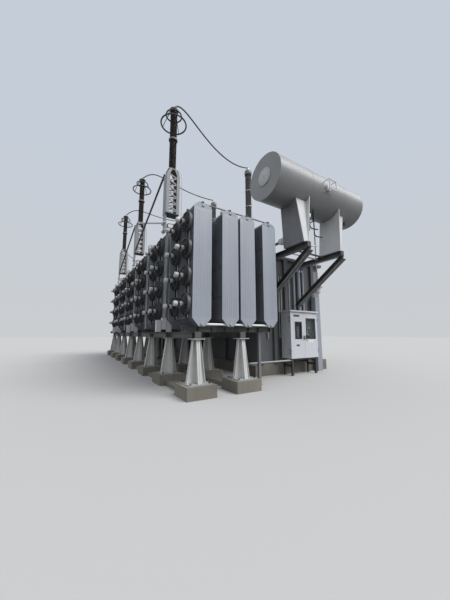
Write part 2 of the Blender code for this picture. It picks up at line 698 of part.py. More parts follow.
def build_arrester_brackets():
    """Two laced channels between plates, with a foot plate down the post."""
    y = header_y(ARRESTER_BAYS[0])
    half_width, half_depth = BRACKET_WIDTH / 2, BRACKET_DEPTH / 2
    lacing_low, lacing_high = BRACKET_BOTTOM + BRACKET_PLATE, BRACKET_TOP - BRACKET_PLATE
    pieces = []
    for low, high in ((BRACKET_BOTTOM, lacing_low), (lacing_high, BRACKET_TOP)):
        pieces.append(block((POST_X - half_width, y - half_depth, low),
                            (POST_X + half_width, y + half_depth, high)))
    for side in (-1, 1):
        edge = POST_X + side * half_width
        pieces.append(block((edge, y - half_depth, BRACKET_BOTTOM),
                            (edge - side * BRACKET_CHANNEL, y + half_depth, BRACKET_TOP)))
    inner_half = half_width - BRACKET_CHANNEL / 2
    step = (lacing_high - lacing_low) / BRACKET_LACING
    for number in range(BRACKET_LACING):
        side = 1 if number % 2 else -1
        start = Vector((POST_X + side * inner_half, y, lacing_low + number * step))
        end = Vector((POST_X - side * inner_half, y, lacing_low + (number + 1) * step))
        run = end - start
        half = LACING_WIDTH / 2
        outline = [(0, -half), (run.length, -half), (run.length, half), (0, half)]
        pieces.append(plate(outline, LACING_DEPTH, start, run, run.cross(Vector((0, 1, 0)))))
    foot_outer = POST_X - POST_SIDE / 2 - SEAT_GAP
    pieces.append(block((foot_outer - BRACKET_FOOT_THICKNESS, y - POST_SIDE / 2,
                         BRACKET_BOTTOM - BRACKET_FOOT_LENGTH),
                        (foot_outer, y + POST_SIDE / 2, lacing_low)))
    bracket = finished("arrester_bracket_1", fuse(pieces), GALVANISED)
    placed_copies("arrester_bracket", bracket, [(0, bay * BAY_PITCH, 0) for bay in ARRESTER_BAYS[1:]])


def shed_profile(top, height, core, shed, count):
    """Points down one insulator unit, with sloping sheds."""
    step = height / count
    points = []
    for number in range(count):
        start = top - number * step
        points += [(core, start - step * 0.15), (shed, start - step * 0.55), (core, start - step * 0.75)]
    return points


def arrester_profile():
    """Units of sheds between flanges, with a stud on top."""
    top = ARRESTER_TOP
    points = [(0, top + ARRESTER_STUD_HEIGHT), (ARRESTER_STUD_RADIUS, top + ARRESTER_STUD_HEIGHT),
              (ARRESTER_STUD_RADIUS, top)]
    level = top
    for unit in range(ARRESTER_UNITS):
        points += [(ARRESTER_FLANGE, level), (ARRESTER_FLANGE, level - ARRESTER_FLANGE_HEIGHT)]
        level -= ARRESTER_FLANGE_HEIGHT
        points += shed_profile(level, ARRESTER_UNIT_HEIGHT, ARRESTER_CORE, ARRESTER_SHED, SHED_COUNT)
        level -= ARRESTER_UNIT_HEIGHT
    return points + [(ARRESTER_FLANGE, level), (ARRESTER_FLANGE, level - ARRESTER_FLANGE_HEIGHT),
                     (0, level - ARRESTER_FLANGE_HEIGHT)]


def build_arresters():
    y = header_y(ARRESTER_BAYS[0])
    large_z = ARRESTER_TOP - LARGE_RING_DROP
    spoke_share = (LARGE_RING_RADIUS - SMALL_RING_RADIUS) / (LARGE_RING_RADIUS - ARRESTER_FLANGE)
    small_z = large_z + spoke_share * (LARGE_RING_DROP - ARRESTER_FLANGE_HEIGHT / 2)
    pieces = [turned(arrester_profile(), 8, (POST_X, y, 0)),
              torus((POST_X, y, large_z), LARGE_RING_RADIUS, RING_TUBE, 14, 4),
              torus((POST_X, y, small_z), SMALL_RING_RADIUS, RING_TUBE, 8, 4)]
    for number in range(RING_SPOKES):
        angle = math.radians(45) + number * math.tau / RING_SPOKES
        away = Vector((math.cos(angle), math.sin(angle), 0))
        middle = Vector((POST_X, y, ARRESTER_TOP - ARRESTER_FLANGE_HEIGHT / 2))
        start = middle + away * (ARRESTER_FLANGE * 0.8)
        end = Vector((POST_X, y, large_z)) + away * LARGE_RING_RADIUS
        pieces.append(rod(start, end, RING_TUBE * 0.6, 4))
    arrester = finished("surge_arrester_1", fuse(pieces), BROWN_GLAZE, smooth=True)
    placed_copies("surge_arrester", arrester, [(0, bay * BAY_PITCH, 0) for bay in ARRESTER_BAYS[1:]])


def build_cross_braces():
    """Two crossed bars from one arrester bracket and its foot to the next bracket."""
    x = POST_X - (BRACKET_WIDTH - BRACKET_CHANNEL) / 2
    inset = BRACKET_DEPTH / 2 + SEAT_GAP
    near, far = header_y(ARRESTER_BAYS[0]) + inset, header_y(ARRESTER_BAYS[1]) - inset
    foot = header_y(ARRESTER_BAYS[0]) + POST_SIDE / 2 + SEAT_GAP
    high, low = BRACKET_TOP - BRACE_RADIUS * 2, BRACKET_BOTTOM + BRACE_RADIUS * 3
    bars = []
    for start, start_z, end_z in ((near, high, low), (foot, BRACE_FOOT_Z, high)):
        run = Vector((0, far - start, end_z - start_z))
        lift = BRACE_RADIUS * run.length / run.y
        outline = [(start, start_z + lift), (far, end_z + lift), (far, end_z - lift), (start, start_z - lift)]
        bars.append(plate(outline, BRACE_RADIUS * 2, (x, 0, 0), (0, 1, 0), (0, 0, 1)))
    brace = finished("cross_brace_1", fuse(bars), DARK_STEEL)
    span = (ARRESTER_BAYS[1] - ARRESTER_BAYS[0]) * BAY_PITCH
    placed_copies("cross_brace", brace, [(0, span, 0)])


def bushing_profile():
    """Turret, flange, insulator sections with joints, cap and terminal."""
    top = BUSHING_TOP
    cap_top = top - TERMINAL_HEIGHT
    cap_foot = cap_top - BUSHING_CAP_HEIGHT
    points = [(0, top), (TERMINAL_RADIUS, top), (TERMINAL_RADIUS, cap_top),
              (BUSHING_CAP_RADIUS * 0.6, cap_top),
              (BUSHING_CAP_RADIUS, cap_top - BUSHING_CAP_HEIGHT * 0.45), (BUSHING_CAP_RADIUS, cap_foot),
              (BUSHING_RADIUS, cap_foot)]
    for number in range(1, BUSHING_SECTIONS):
        joint = cap_foot - number * BUSHING_SECTION_HEIGHT
        for radius, offset in ((BUSHING_RADIUS, 1), (BUSHING_JOINT_RADIUS, 0), (BUSHING_RADIUS, -1)):
            points.append((radius, joint + offset * BUSHING_JOINT_HEIGHT / 2))
    flange_top = TURRET_TOP + TURRET_FLANGE_HEIGHT
    return points + [(BUSHING_RADIUS, flange_top), (TURRET_FLANGE, flange_top),
                     (TURRET_FLANGE, TURRET_TOP), (TURRET_RADIUS, TURRET_TOP),
                     (TURRET_RADIUS, COVER_TOP + SEAT_GAP), (0, COVER_TOP + SEAT_GAP)]


def build_bushings():
    ys = bushing_ys()
    first = turned(bushing_profile(), 8, (BUSHING_X, ys[0], 0))
    first = finished("high_voltage_bushing_1", first, GREY_GLAZE, smooth=True)
    placed_copies("high_voltage_bushing", first, [(0, y - ys[0], 0) for y in ys[1:]])
    foot = COVER_TOP + SEAT_GAP
    turret = foot + NEUTRAL_TURRET_HEIGHT
    crown = turret + NEUTRAL_HEIGHT
    neck = NEUTRAL_RADIUS * 0.4
    profile = [(0, crown + TERMINAL_HEIGHT), (neck, crown + TERMINAL_HEIGHT), (neck, crown),
               (NEUTRAL_RADIUS * 1.3, crown), (NEUTRAL_RADIUS * 1.3, crown - TERMINAL_HEIGHT),
               (NEUTRAL_RADIUS, crown - TERMINAL_HEIGHT), (NEUTRAL_RADIUS, turret),
               (NEUTRAL_TURRET_RADIUS, turret), (NEUTRAL_TURRET_RADIUS, foot), (0, foot)]
    finished("neutral_bushing", turned(profile, 8, (NEUTRAL_X, NEUTRAL_Y, 0)), GREY_GLAZE, smooth=True)


def jumper_route(start, end, sag):
    """Straight up out of both terminals, then a hanging curve between them."""
    start, end = Vector(start), Vector(end)
    lift = Vector((0, 0, JUMPER_RISE))
    points = [start]
    for number in range(JUMPER_POINTS):
        share = number / (JUMPER_POINTS - 1)
        point = (start + lift).lerp(end + lift, share)
        point.z -= 4 * sag * share * (1 - share)
        points.append(point)
    return points + [end]


def build_jumpers():
    for number, (bay, bushing_y) in enumerate(zip(ARRESTER_BAYS, bushing_ys()), start=1):
        start = (POST_X, header_y(bay), ARRESTER_TOP + ARRESTER_STUD_HEIGHT + SEAT_GAP)
        end = (BUSHING_X, bushing_y, BUSHING_TOP + SEAT_GAP)
        route = jumper_route(start, end, JUMPER_SAGS[number - 1])
        curve = bpy.data.curves.new("route", "CURVE")
        curve.dimensions = "3D"
        curve.bevel_depth = JUMPER_RADIUS
        curve.bevel_resolution = 1
        curve.use_fill_caps = True
        spline = curve.splines.new("POLY")
        spline.points.add(len(route) - 1)
        for point, place in zip(spline.points, route):
            point.co = (*place, 1.0)
        holder = bpy.data.objects.new("route", curve)
        PARTS.objects.link(holder)
        piece = bpy.data.objects.new("piece", evaluated_mesh(holder))
        PARTS.objects.link(piece)
        bpy.data.objects.remove(holder, do_unlink=True)
        finished(f"jumper_{number}", piece, CONDUCTOR, smooth=True)


def build_conservator():
    """A drum along X with a flat manhole end and a dished far end."""
    length = CONSERVATOR_RIGHT - CONSERVATOR_LEFT
    radius = CONSERVATOR_RADIUS
    dish = [(radius * math.cos(step * math.pi / 8), CONSERVATOR_DISH * math.sin(step * math.pi / 8))
            for step in range(3, -1, -1)]
    profile = [(0, length)]
    profile += [(r, length - CONSERVATOR_DISH + h) for r, h in dish]
    profile += [(radius, 0), (MANHOLE_RADIUS, 0), (MANHOLE_RADIUS, -MANHOLE_THICKNESS),
                (0, -MANHOLE_THICKNESS)]
    drum = turned(profile, CONSERVATOR_SIDES, (CONSERVATOR_LEFT, CONSERVATOR_Y, CONSERVATOR_Z), (1, 0, 0))
    finished("conservator", drum, PALE_PAINT, smooth=True)


def drum_space():
    """A cutter the shape of the drum with its clearance, for whatever seats on it."""
    radius = CONSERVATOR_RADIUS + SEAT_GAP / math.cos(math.pi / CONSERVATOR_SIDES)
    length = CONSERVATOR_RIGHT - CONSERVATOR_LEFT
    return turned([(0, length), (radius, length), (radius, 0), (0, 0)], CONSERVATOR_SIDES,
                  (CONSERVATOR_LEFT, CONSERVATOR_Y, CONSERVATOR_Z), (1, 0, 0))


def build_saddle(number, x, flange_top, flange_foot):
    """A web plate in Y and Z under the drum, with a leaning flange that flares along its front."""
    foot = SUPPORT_BEAM_TOP + SEAT_GAP
    lean = Vector((0, SADDLE_FRONT_TOP_Y - SADDLE_FRONT_FOOT_Y, SADDLE_RISE))
    web = [(SADDLE_BACK_FOOT_Y, foot), (SADDLE_FRONT_FOOT_Y, foot),
           (SADDLE_FRONT_TOP_Y, foot + SADDLE_RISE), (SADDLE_BACK_TOP_Y, foot + SADDLE_RISE)]
    flange = [(flange_foot[0], 0), (flange_foot[1], 0),
              (flange_top[1], lean.length), (flange_top[0], lean.length)]
    sole = foot + SADDLE_FLANGE * lean.y / lean.length / 2
    pieces = [plate(web, SADDLE_WEB, (x, 0, 0), (0, 1, 0), (0, 0, 1)),
              plate(flange, SADDLE_FLANGE, (x, SADDLE_FRONT_FOOT_Y, sole), (1, 0, 0), lean),
              block((x - SUPPORT_BEAM_WIDTH / 2, SADDLE_FRONT_FOOT_Y, foot),
                    (x + SUPPORT_BEAM_WIDTH / 2, SADDLE_BACK_FOOT_Y, foot + SADDLE_FOOT))]
    finished(f"conservator_saddle_{number}", cut(fuse(pieces), [drum_space()]), PALE_PAINT)


def beam_outline(width, depth, web, flange):
    """The section of a rolled beam, centred on its top edge."""
    half, thin = width / 2, web / 2
    return [(-half, 0), (-half, -flange), (-thin, -flange), (-thin, flange - depth), (-half, flange - depth),
            (-half, -depth), (half, -depth), (half, flange - depth), (thin, flange - depth), (thin, -flange),
            (half, -flange), (half, 0)]


def build_conservator_bracket(number, x):
    """A level beam out from the tank's end wall, with a strut under it."""
    wall = TANK_END_Y - SEAT_GAP
    outer = wall - SUPPORT_REACH
    beam = plate(beam_outline(SUPPORT_BEAM_WIDTH, SUPPORT_BEAM_DEPTH, SUPPORT_BEAM_WEB, SUPPORT_BEAM_FLANGE),
                 SUPPORT_REACH, (x, (wall + outer) / 2, SUPPORT_BEAM_TOP), (1, 0, 0), (0, 0, 1))
    top = SUPPORT_BEAM_TOP - SUPPORT_BEAM_DEPTH / 2
    bottom = top - STRUT_DROP
    slope = math.hypot(SUPPORT_REACH, STRUT_DROP)
    lift = STRUT_DEPTH * slope / SUPPORT_REACH
    strut = plate([(outer, top), (outer, top - lift), (wall, bottom - lift), (wall, bottom)], STRUT_WIDTH,
                  (x, 0, 0), (0, 1, 0), (0, 0, 1))
    pad_half = WALL_PAD_WIDTH / 2
    pads = [block((x - pad_half, wall - WALL_PAD_THICKNESS, low), (x + pad_half, wall, low + WALL_PAD_HEIGHT))
            for low in (SUPPORT_BEAM_TOP - WALL_PAD_HEIGHT, bottom - lift / 2 - WALL_PAD_HEIGHT / 2)]
    finished(f"conservator_bracket_{number}", fuse([beam, strut, *pads]), DARK_STEEL)


def build_gauge_guard():
    """An open frame of bars that stands out from the drum's front."""
    left, right = GUARD_X - GUARD_WIDTH / 2, GUARD_X + GUARD_WIDTH / 2
    low = CONSERVATOR_Z - GUARD_HEIGHT / 2 - GUARD_DROP
    high = low + GUARD_HEIGHT
    front = CONSERVATOR_Y - CONSERVATOR_RADIUS - GUARD_DEPTH
    bar = GUARD_BAR / 2
    pieces = []
    for z in (low, high):
        pieces.append(rod((left - bar, front, z), (right + bar, front, z), bar, 4))
        for x in (left, right):
            pieces.append(rod((x, front - bar * BRANCH_SHARE ** 2, z), (x, CONSERVATOR_Y, z),
                              bar * BRANCH_SHARE, 4))
    for x in (left, right):
        pieces.append(rod((x, front, low), (x, front, high), bar * BRANCH_SHARE ** 3, 4))
    finished("gauge_guard", cut(fuse(pieces), [drum_space()]), CABINET_PAINT)


def build_conservator_pipe():
    """From the drum down and back over the cover, through the gas relay."""
    foot = COVER_TOP + SEAT_GAP
    level, slim = PIPE_RADIUS * BRANCH_SHARE, PIPE_RADIUS * BRANCH_SHARE ** 2
    relay_y = (CONSERVATOR_Y + PIPE_BACK_Y) / 2
    pieces = [rod((PIPE_X, CONSERVATOR_Y, PIPE_Z), (PIPE_X, CONSERVATOR_Y, CONSERVATOR_Z), PIPE_RADIUS),
              rod((PIPE_X, CONSERVATOR_Y - slim, PIPE_Z), (PIPE_X, PIPE_BACK_Y + slim, PIPE_Z), level),
              rod((PIPE_X, PIPE_BACK_Y, foot), (PIPE_X, PIPE_BACK_Y, PIPE_Z), slim),
              rod((PIPE_X, PIPE_BACK_Y, foot), (PIPE_X, PIPE_BACK_Y, foot + FLANGE_THICKNESS),
                  PIPE_RADIUS * 1.8),
              block((PIPE_X - RELAY_SIDE / 2, relay_y - RELAY_LENGTH / 2, PIPE_Z - RELAY_SIDE / 2),
                    (PIPE_X + RELAY_SIDE / 2, relay_y + RELAY_LENGTH / 2, PIPE_Z + RELAY_SIDE / 2))]
    finished("conservator_pipe", cut(fuse(pieces), [drum_space()]), DARK_STEEL)


def build_breather():
    """A domed hood over a small canister, hung from the drum on a thin pipe."""
    hood_drop = BREATHER_HEIGHT * 0.45
    rim = BREATHER_TOP - hood_drop
    foot = BREATHER_TOP - BREATHER_HEIGHT
    profile = [(0, BREATHER_TOP), (BREATHER_HOOD_RADIUS * 0.55, BREATHER_TOP - hood_drop * 0.2),
               (BREATHER_HOOD_RADIUS, BREATHER_TOP - hood_drop * 0.7), (BREATHER_HOOD_RADIUS, rim),
               (BREATHER_BODY_RADIUS, rim), (BREATHER_BODY_RADIUS, foot), (0, foot)]
    pipe = rod((BREATHER_X, BREATHER_Y, BREATHER_TOP - hood_drop / 2),
               (BREATHER_X, BREATHER_Y, CONSERVATOR_Z), BREATHER_PIPE_RADIUS)
    hung = cut(fuse([turned(profile, 12, (BREATHER_X, BREATHER_Y, 0)), pipe]), [drum_space()])
    finished("breather", hung, CABINET_PAINT, smooth=True)


def build_riser():
    """The upright duct beside the cabinet, against the end wall's rib."""
    back = TANK_END_Y - TANK_RIB_DEPTH - SEAT_GAP
    duct = block((RISER_X - RISER_WIDTH / 2, back - RISER_DEPTH, 0),
                 (RISER_X + RISER_WIDTH / 2, back, RISER_TOP))
    finished("cable_riser", duct, PALE_PAINT)


def hinge_axis_x(hinge_side):
    return CABINET_LEFT - HINGE_OFFSET if hinge_side < 0 else CABINET_RIGHT + HINGE_OFFSET


def hinge_heights():
    return [CABINET_BOTTOM + share * (DOOR_TOP - CABINET_BOTTOM) for share in HINGE_SHARES]


def fixed_knuckles():
    """Above and below each door knuckle, a knuckle on a strap to the case's side."""
    strap_back = CABINET_BODY_FRONT + HINGE_STRAP
    pieces = []
    for hinge_side in (-1, 1):
        x = hinge_axis_x(hinge_side)
        outer = x + hinge_side * HINGE_RADIUS
        inner = x - hinge_side * HINGE_OFFSET * 1.5
        for z in hinge_heights():
            for start in (z - HINGE_HEIGHT / 2 - SEAT_GAP - HINGE_EAR, z + HINGE_HEIGHT / 2 + SEAT_GAP):
                end = start + HINGE_EAR
                pieces.append(rod((x, CABINET_FRONT, start), (x, CABINET_FRONT, end), HINGE_RADIUS))
                pieces.append(block((x, CABINET_FRONT, start), (outer, strap_back, end)))
                pieces.append(block((outer, CABINET_BODY_FRONT, start), (inner, strap_back, end)))
    return pieces


def cabinet_legs():
    back = CABINET_BODY_FRONT + CABINET_DEPTH
    pieces = []
    for x in (CABINET_LEFT + LEG_INSET, CABINET_RIGHT - LEG_INSET - LEG_SIDE):
        for y in (CABINET_BODY_FRONT, back - LEG_SIDE):
            pieces.append(block((x, y, 0), (x + LEG_SIDE, y + LEG_SIDE, CABINET_BOTTOM + CABINET_WALL / 2)))
        rail_top = STAND_RAIL_Z + STAND_RAIL_HEIGHT
        pieces.append(block((x, CABINET_BODY_FRONT + LEG_SIDE / 2, STAND_RAIL_Z),
                            (x + LEG_SIDE * BRANCH_SHARE, back - LEG_SIDE / 2, rail_top)))
    return pieces


def build_cabinet():
    """A hollow case on four legs, with a roof that reaches over the doors."""
    back = CABINET_BODY_FRONT + CABINET_DEPTH
    case = block((CABINET_LEFT, CABINET_BODY_FRONT, CABINET_BOTTOM), (CABINET_RIGHT, back, CABINET_TOP))
    wall, lip = CABINET_WALL, CABINET_ROOF_LIP
    inside = block((CABINET_LEFT + wall, CABINET_BODY_FRONT - wall, CABINET_BOTTOM + wall),
                   (CABINET_RIGHT - wall, back - wall, CABINET_TOP - wall))
    roof = block((CABINET_LEFT - lip, CABINET_FRONT - lip, CABINET_TOP - wall / 2),
                 (CABINET_RIGHT + lip, back, CABINET_TOP + CABINET_ROOF))
    shell = cut(case, [inside])
    finished("control_cabinet", fuse([shell, roof, *cabinet_legs(), *fixed_knuckles()]), CABINET_PAINT)


def build_inner_panel():
    """The instrument plate behind the doors, on two rails from the back wall."""
    front = CABINET_BODY_FRONT + INNER_PANEL_DEPTH
    wall = CABINET_WALL + SEAT_GAP
    inner_back = CABINET_BODY_FRONT + CABINET_DEPTH - wall
    left, right = CABINET_LEFT + wall + INNER_PANEL_MARGIN, CABINET_RIGHT - wall - INNER_PANEL_MARGIN
    low, high = CABINET_BOTTOM + wall + INNER_PANEL_MARGIN, CABINET_TOP - wall - INNER_PANEL_MARGIN
    pieces = [block((left, front, low), (right, front + INNER_PANEL_THICKNESS, high))]
    for x in (left, right - INNER_PANEL_RAIL):
        pieces.append(block((x, front + INNER_PANEL_THICKNESS / 2, low + INNER_PANEL_MARGIN),
                            (x + INNER_PANEL_RAIL, inner_back, high - INNER_PANEL_MARGIN)))
    finished("instrument_panel", fuse(pieces), PANEL_GREEN)


def window_place(hinge_side):
    """The window of one door: left, right, bottom and top."""
    if hinge_side < 0:
        start, sides, height, drop = CABINET_LEFT, LEFT_WINDOW, LEFT_WINDOW_HEIGHT, LEFT_WINDOW_DROP
    else:
        start, sides, height, drop = CABINET_MIDDLE, RIGHT_WINDOW, RIGHT_WINDOW_HEIGHT, RIGHT_WINDOW_DROP
    top = DOOR_TOP - drop
    return start + sides[0], start + sides[1], top - height, top


def hung_at(piece, pivot):
    """Move a piece's origin to its hinge axis without moving the piece."""
    piece.data.transform(Matrix.Translation(-pivot))
    piece.location = pivot
    return piece


def build_door(name, hinge_side):
    """A flat door with a window, a handle by the middle and hinge knuckles outside."""
    hung_edge = CABINET_LEFT if hinge_side < 0 else CABINET_RIGHT
    free_edge = CABINET_MIDDLE + hinge_side * DOOR_CLEARANCE / 2
    leaf = block((hung_edge, CABINET_FRONT, CABINET_BOTTOM), (free_edge, DOOR_BACK_Y, DOOR_TOP))
    left, right, low, high = window_place(hinge_side)
    middle_y = CABINET_FRONT + DOOR_THICKNESS / 2
    through = block((left, CABINET_FRONT - DOOR_THICKNESS, low), (right, DOOR_BACK_Y + DOOR_THICKNESS, high))
    rebate = block((left - GLASS_REBATE, middle_y, low - GLASS_REBATE),
                   (right + GLASS_REBATE, DOOR_BACK_Y + DOOR_THICKNESS, high + GLASS_REBATE))
    handle_x = CABINET_MIDDLE + hinge_side * HANDLE_INSET
    handle_low = CABINET_BOTTOM + HANDLE_Z
    handle = block((handle_x - HANDLE_WIDTH / 2, CABINET_FRONT - HANDLE_REACH, handle_low),
                   (handle_x + HANDLE_WIDTH / 2, middle_y, handle_low + HANDLE_LENGTH))
    pieces = [cut(leaf, [fuse([through, rebate])]), handle]
    hinge_x = hinge_axis_x(hinge_side)
    for z in hinge_heights():
        start, end = z - HINGE_HEIGHT / 2, z + HINGE_HEIGHT / 2
        pieces.append(rod((hinge_x, CABINET_FRONT, start), (hinge_x, CABINET_FRONT, end), HINGE_RADIUS))
        pieces.append(block((hinge_x, CABINET_FRONT, start),
                            (hinge_x - hinge_side * HINGE_OFFSET * 2, CABINET_FRONT + HINGE_RADIUS / 2, end)))
    pivot = Vector((hinge_x, CABINET_FRONT, 0))
    finished(f"{name}_door", hung_at(fuse(pieces), pivot), CABINET_PAINT)
    margin = GLASS_REBATE - SEAT_GAP
    pane_front = middle_y + SEAT_GAP
    pane = block((left - margin, pane_front, low - margin),
                 (right + margin, pane_front + GLASS_THICKNESS, high + margin))
    finished(f"{name}_window", hung_at(pane, pivot), GLASS)


def build_front_frame():
    """The first cross beam, its slim leg and the low bar to the cabinet's stand."""
    leg_half = FRONT_LEG_SIDE / 2
    bar_end = CABINET_LEFT + LEG_INSET - SEAT_GAP
    leg_y = FRONT_BEAM_Y
    pieces = [cross_beam(FRONT_BEAM_Y, BANK_RIGHT),
              block((FRONT_LEG_X - leg_half, leg_y - leg_half, 0),
                    (FRONT_LEG_X + leg_half, leg_y + leg_half, BEAM_TOP - BEAM_HEIGHT / 2))]
    elbow_y = CABINET_BODY_FRONT + LEG_SIDE / 2
    bar_z = CABINET_BOTTOM - FRONT_BAR_RADIUS * 2
    pieces.append(rod((FRONT_LEG_X, leg_y, bar_z), (FRONT_LEG_X, elbow_y + FRONT_BAR_RADIUS, bar_z),
                      FRONT_BAR_RADIUS))
    pieces.append(rod((FRONT_LEG_X, elbow_y, bar_z), (bar_end, elbow_y, bar_z),
                      FRONT_BAR_RADIUS * BRANCH_SHARE))
    finished("front_frame", fuse(pieces), DARK_STEEL)


def build_transformer():
    build_plinth()
    build_tank()
    build_cover()
    for name, x in (("outer", OUTER_PEDESTAL_X), ("inner", INNER_PEDESTAL_X)):
        build_piers(f"{name}_piers", x)
        build_pedestals(f"{name}_pedestals", x)
    build_front_frame()
    build_header_frames()
    build_radiator_banks()
    build_fan_banks()
    build_terminal_boxes()
    build_arrester_brackets()
    build_arresters()
    build_cross_braces()
    build_bushings()
    build_jumpers()
    build_conservator()
    for number, x in enumerate(SUPPORT_X, start=1):
        build_conservator_bracket(number, x)
        build_saddle(number, x, SADDLE_FLANGE_TOPS[number - 1], SADDLE_FLANGE_FEET[number - 1])
    build_gauge_guard()
    build_conservator_pipe()
    build_breather()
    build_riser()
    build_cabinet()
    build_inner_panel()
    build_door("left", -1)
    build_door("right", 1)


build_transformer()
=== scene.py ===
"""Looks of the power transformer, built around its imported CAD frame."""

import math
from itertools import product

import bmesh
import bpy
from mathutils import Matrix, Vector


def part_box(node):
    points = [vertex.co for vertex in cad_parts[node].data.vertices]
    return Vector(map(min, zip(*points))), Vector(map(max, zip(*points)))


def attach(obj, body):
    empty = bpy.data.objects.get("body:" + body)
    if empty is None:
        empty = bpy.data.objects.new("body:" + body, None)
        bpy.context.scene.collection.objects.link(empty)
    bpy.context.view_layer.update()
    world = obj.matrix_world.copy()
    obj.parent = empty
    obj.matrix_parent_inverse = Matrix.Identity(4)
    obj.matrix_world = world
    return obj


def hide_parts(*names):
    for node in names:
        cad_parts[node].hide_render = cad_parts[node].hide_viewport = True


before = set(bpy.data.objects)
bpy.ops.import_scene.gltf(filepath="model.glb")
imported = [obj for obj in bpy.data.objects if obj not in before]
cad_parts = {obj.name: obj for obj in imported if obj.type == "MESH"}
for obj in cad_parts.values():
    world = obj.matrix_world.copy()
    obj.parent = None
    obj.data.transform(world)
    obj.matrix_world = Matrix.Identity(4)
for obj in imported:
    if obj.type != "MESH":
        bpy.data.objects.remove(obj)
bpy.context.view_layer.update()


def middle(node):
    """The centre of a CAD node's box."""
    low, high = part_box(node)
    return (low + high) / 2


UP, RIGHT, BACK = Vector((0, 0, 1)), Vector((1, 0, 0)), Vector((0, 1, 0))
LEFT, FRONT = -RIGHT, -BACK

# Sizes shared with the CAD, and places read back from its nodes
BAYS = 6
BAY_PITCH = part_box("radiator_bank_2")[0].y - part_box("radiator_bank_1")[0].y
ARRESTERS = 3
ARRESTER_PITCH = 2 * BAY_PITCH
RADIATOR_GAPS = (0.325, 0.07, 0.30)
PANEL_WIDTH = 0.52
PANEL_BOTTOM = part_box("radiator_bank_1")[0].z
PANEL_HEIGHT = 3.20
PANEL_CHAMFER = 0.10
TIP_WIDTH = 0.17
TIP_DROP = 0.20
PANEL_GROUPS = 4
GROUP_GAP = 0.07
RADIATOR_DEPTH = 1.79
PLATES_A_GROUP = 9
PLATE_HALF = 0.009
FLUTES = 8
PEDESTALS = 8
BASE_HALF = 0.28
SEAT_GAP = 0.0003
BEAM_TOP = PANEL_BOTTOM - SEAT_GAP
POST_X = middle("surge_arrester_1").x
POST_HALF = 0.10
HEADER_Y = middle("header_frame_1").y
TANK_WALL_X = -1.7003
COVER_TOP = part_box("tank_cover")[1].z
DRUM_LOW, DRUM_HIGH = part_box("conservator")
DRUM_CENTRE = (DRUM_LOW + DRUM_HIGH) / 2
DRUM_RADIUS = (DRUM_HIGH.z - DRUM_LOW.z) / 2
SUPPORT_XS = (-1.384, 0.29)
CASE_LEFT, CASE_RIGHT, CASE_BOTTOM, CASE_TOP = -0.72, 0.714, 0.59, 2.26
CASE_FRONT, CASE_BACK = -6.759, -6.329
DOOR_FRONT, DOOR_BACK, DOOR_TOP = -6.80, -6.765, 2.234
HINGE_XS = {-1: -0.736, 1: 0.73}
HINGE_HEIGHTS = [CASE_BOTTOM + share * (DOOR_TOP - CASE_BOTTOM) for share in (0.15, 0.85)]
HINGE_HALF = 0.05
HINGE_PIN = 0.012


def square_to(axis):
    """The axis as a unit vector, with two more square to it and to each other."""
    axis = Vector(axis).normalized()
    side = axis.orthogonal().normalized()
    return axis, side, axis.cross(side)


def circle(side, other, count, start=0.0):
    """Unit vectors in even steps round a circle."""
    turns = [start + k * math.tau / count for k in range(count)]
    return [side * math.cos(turn) + other * math.sin(turn) for turn in turns]


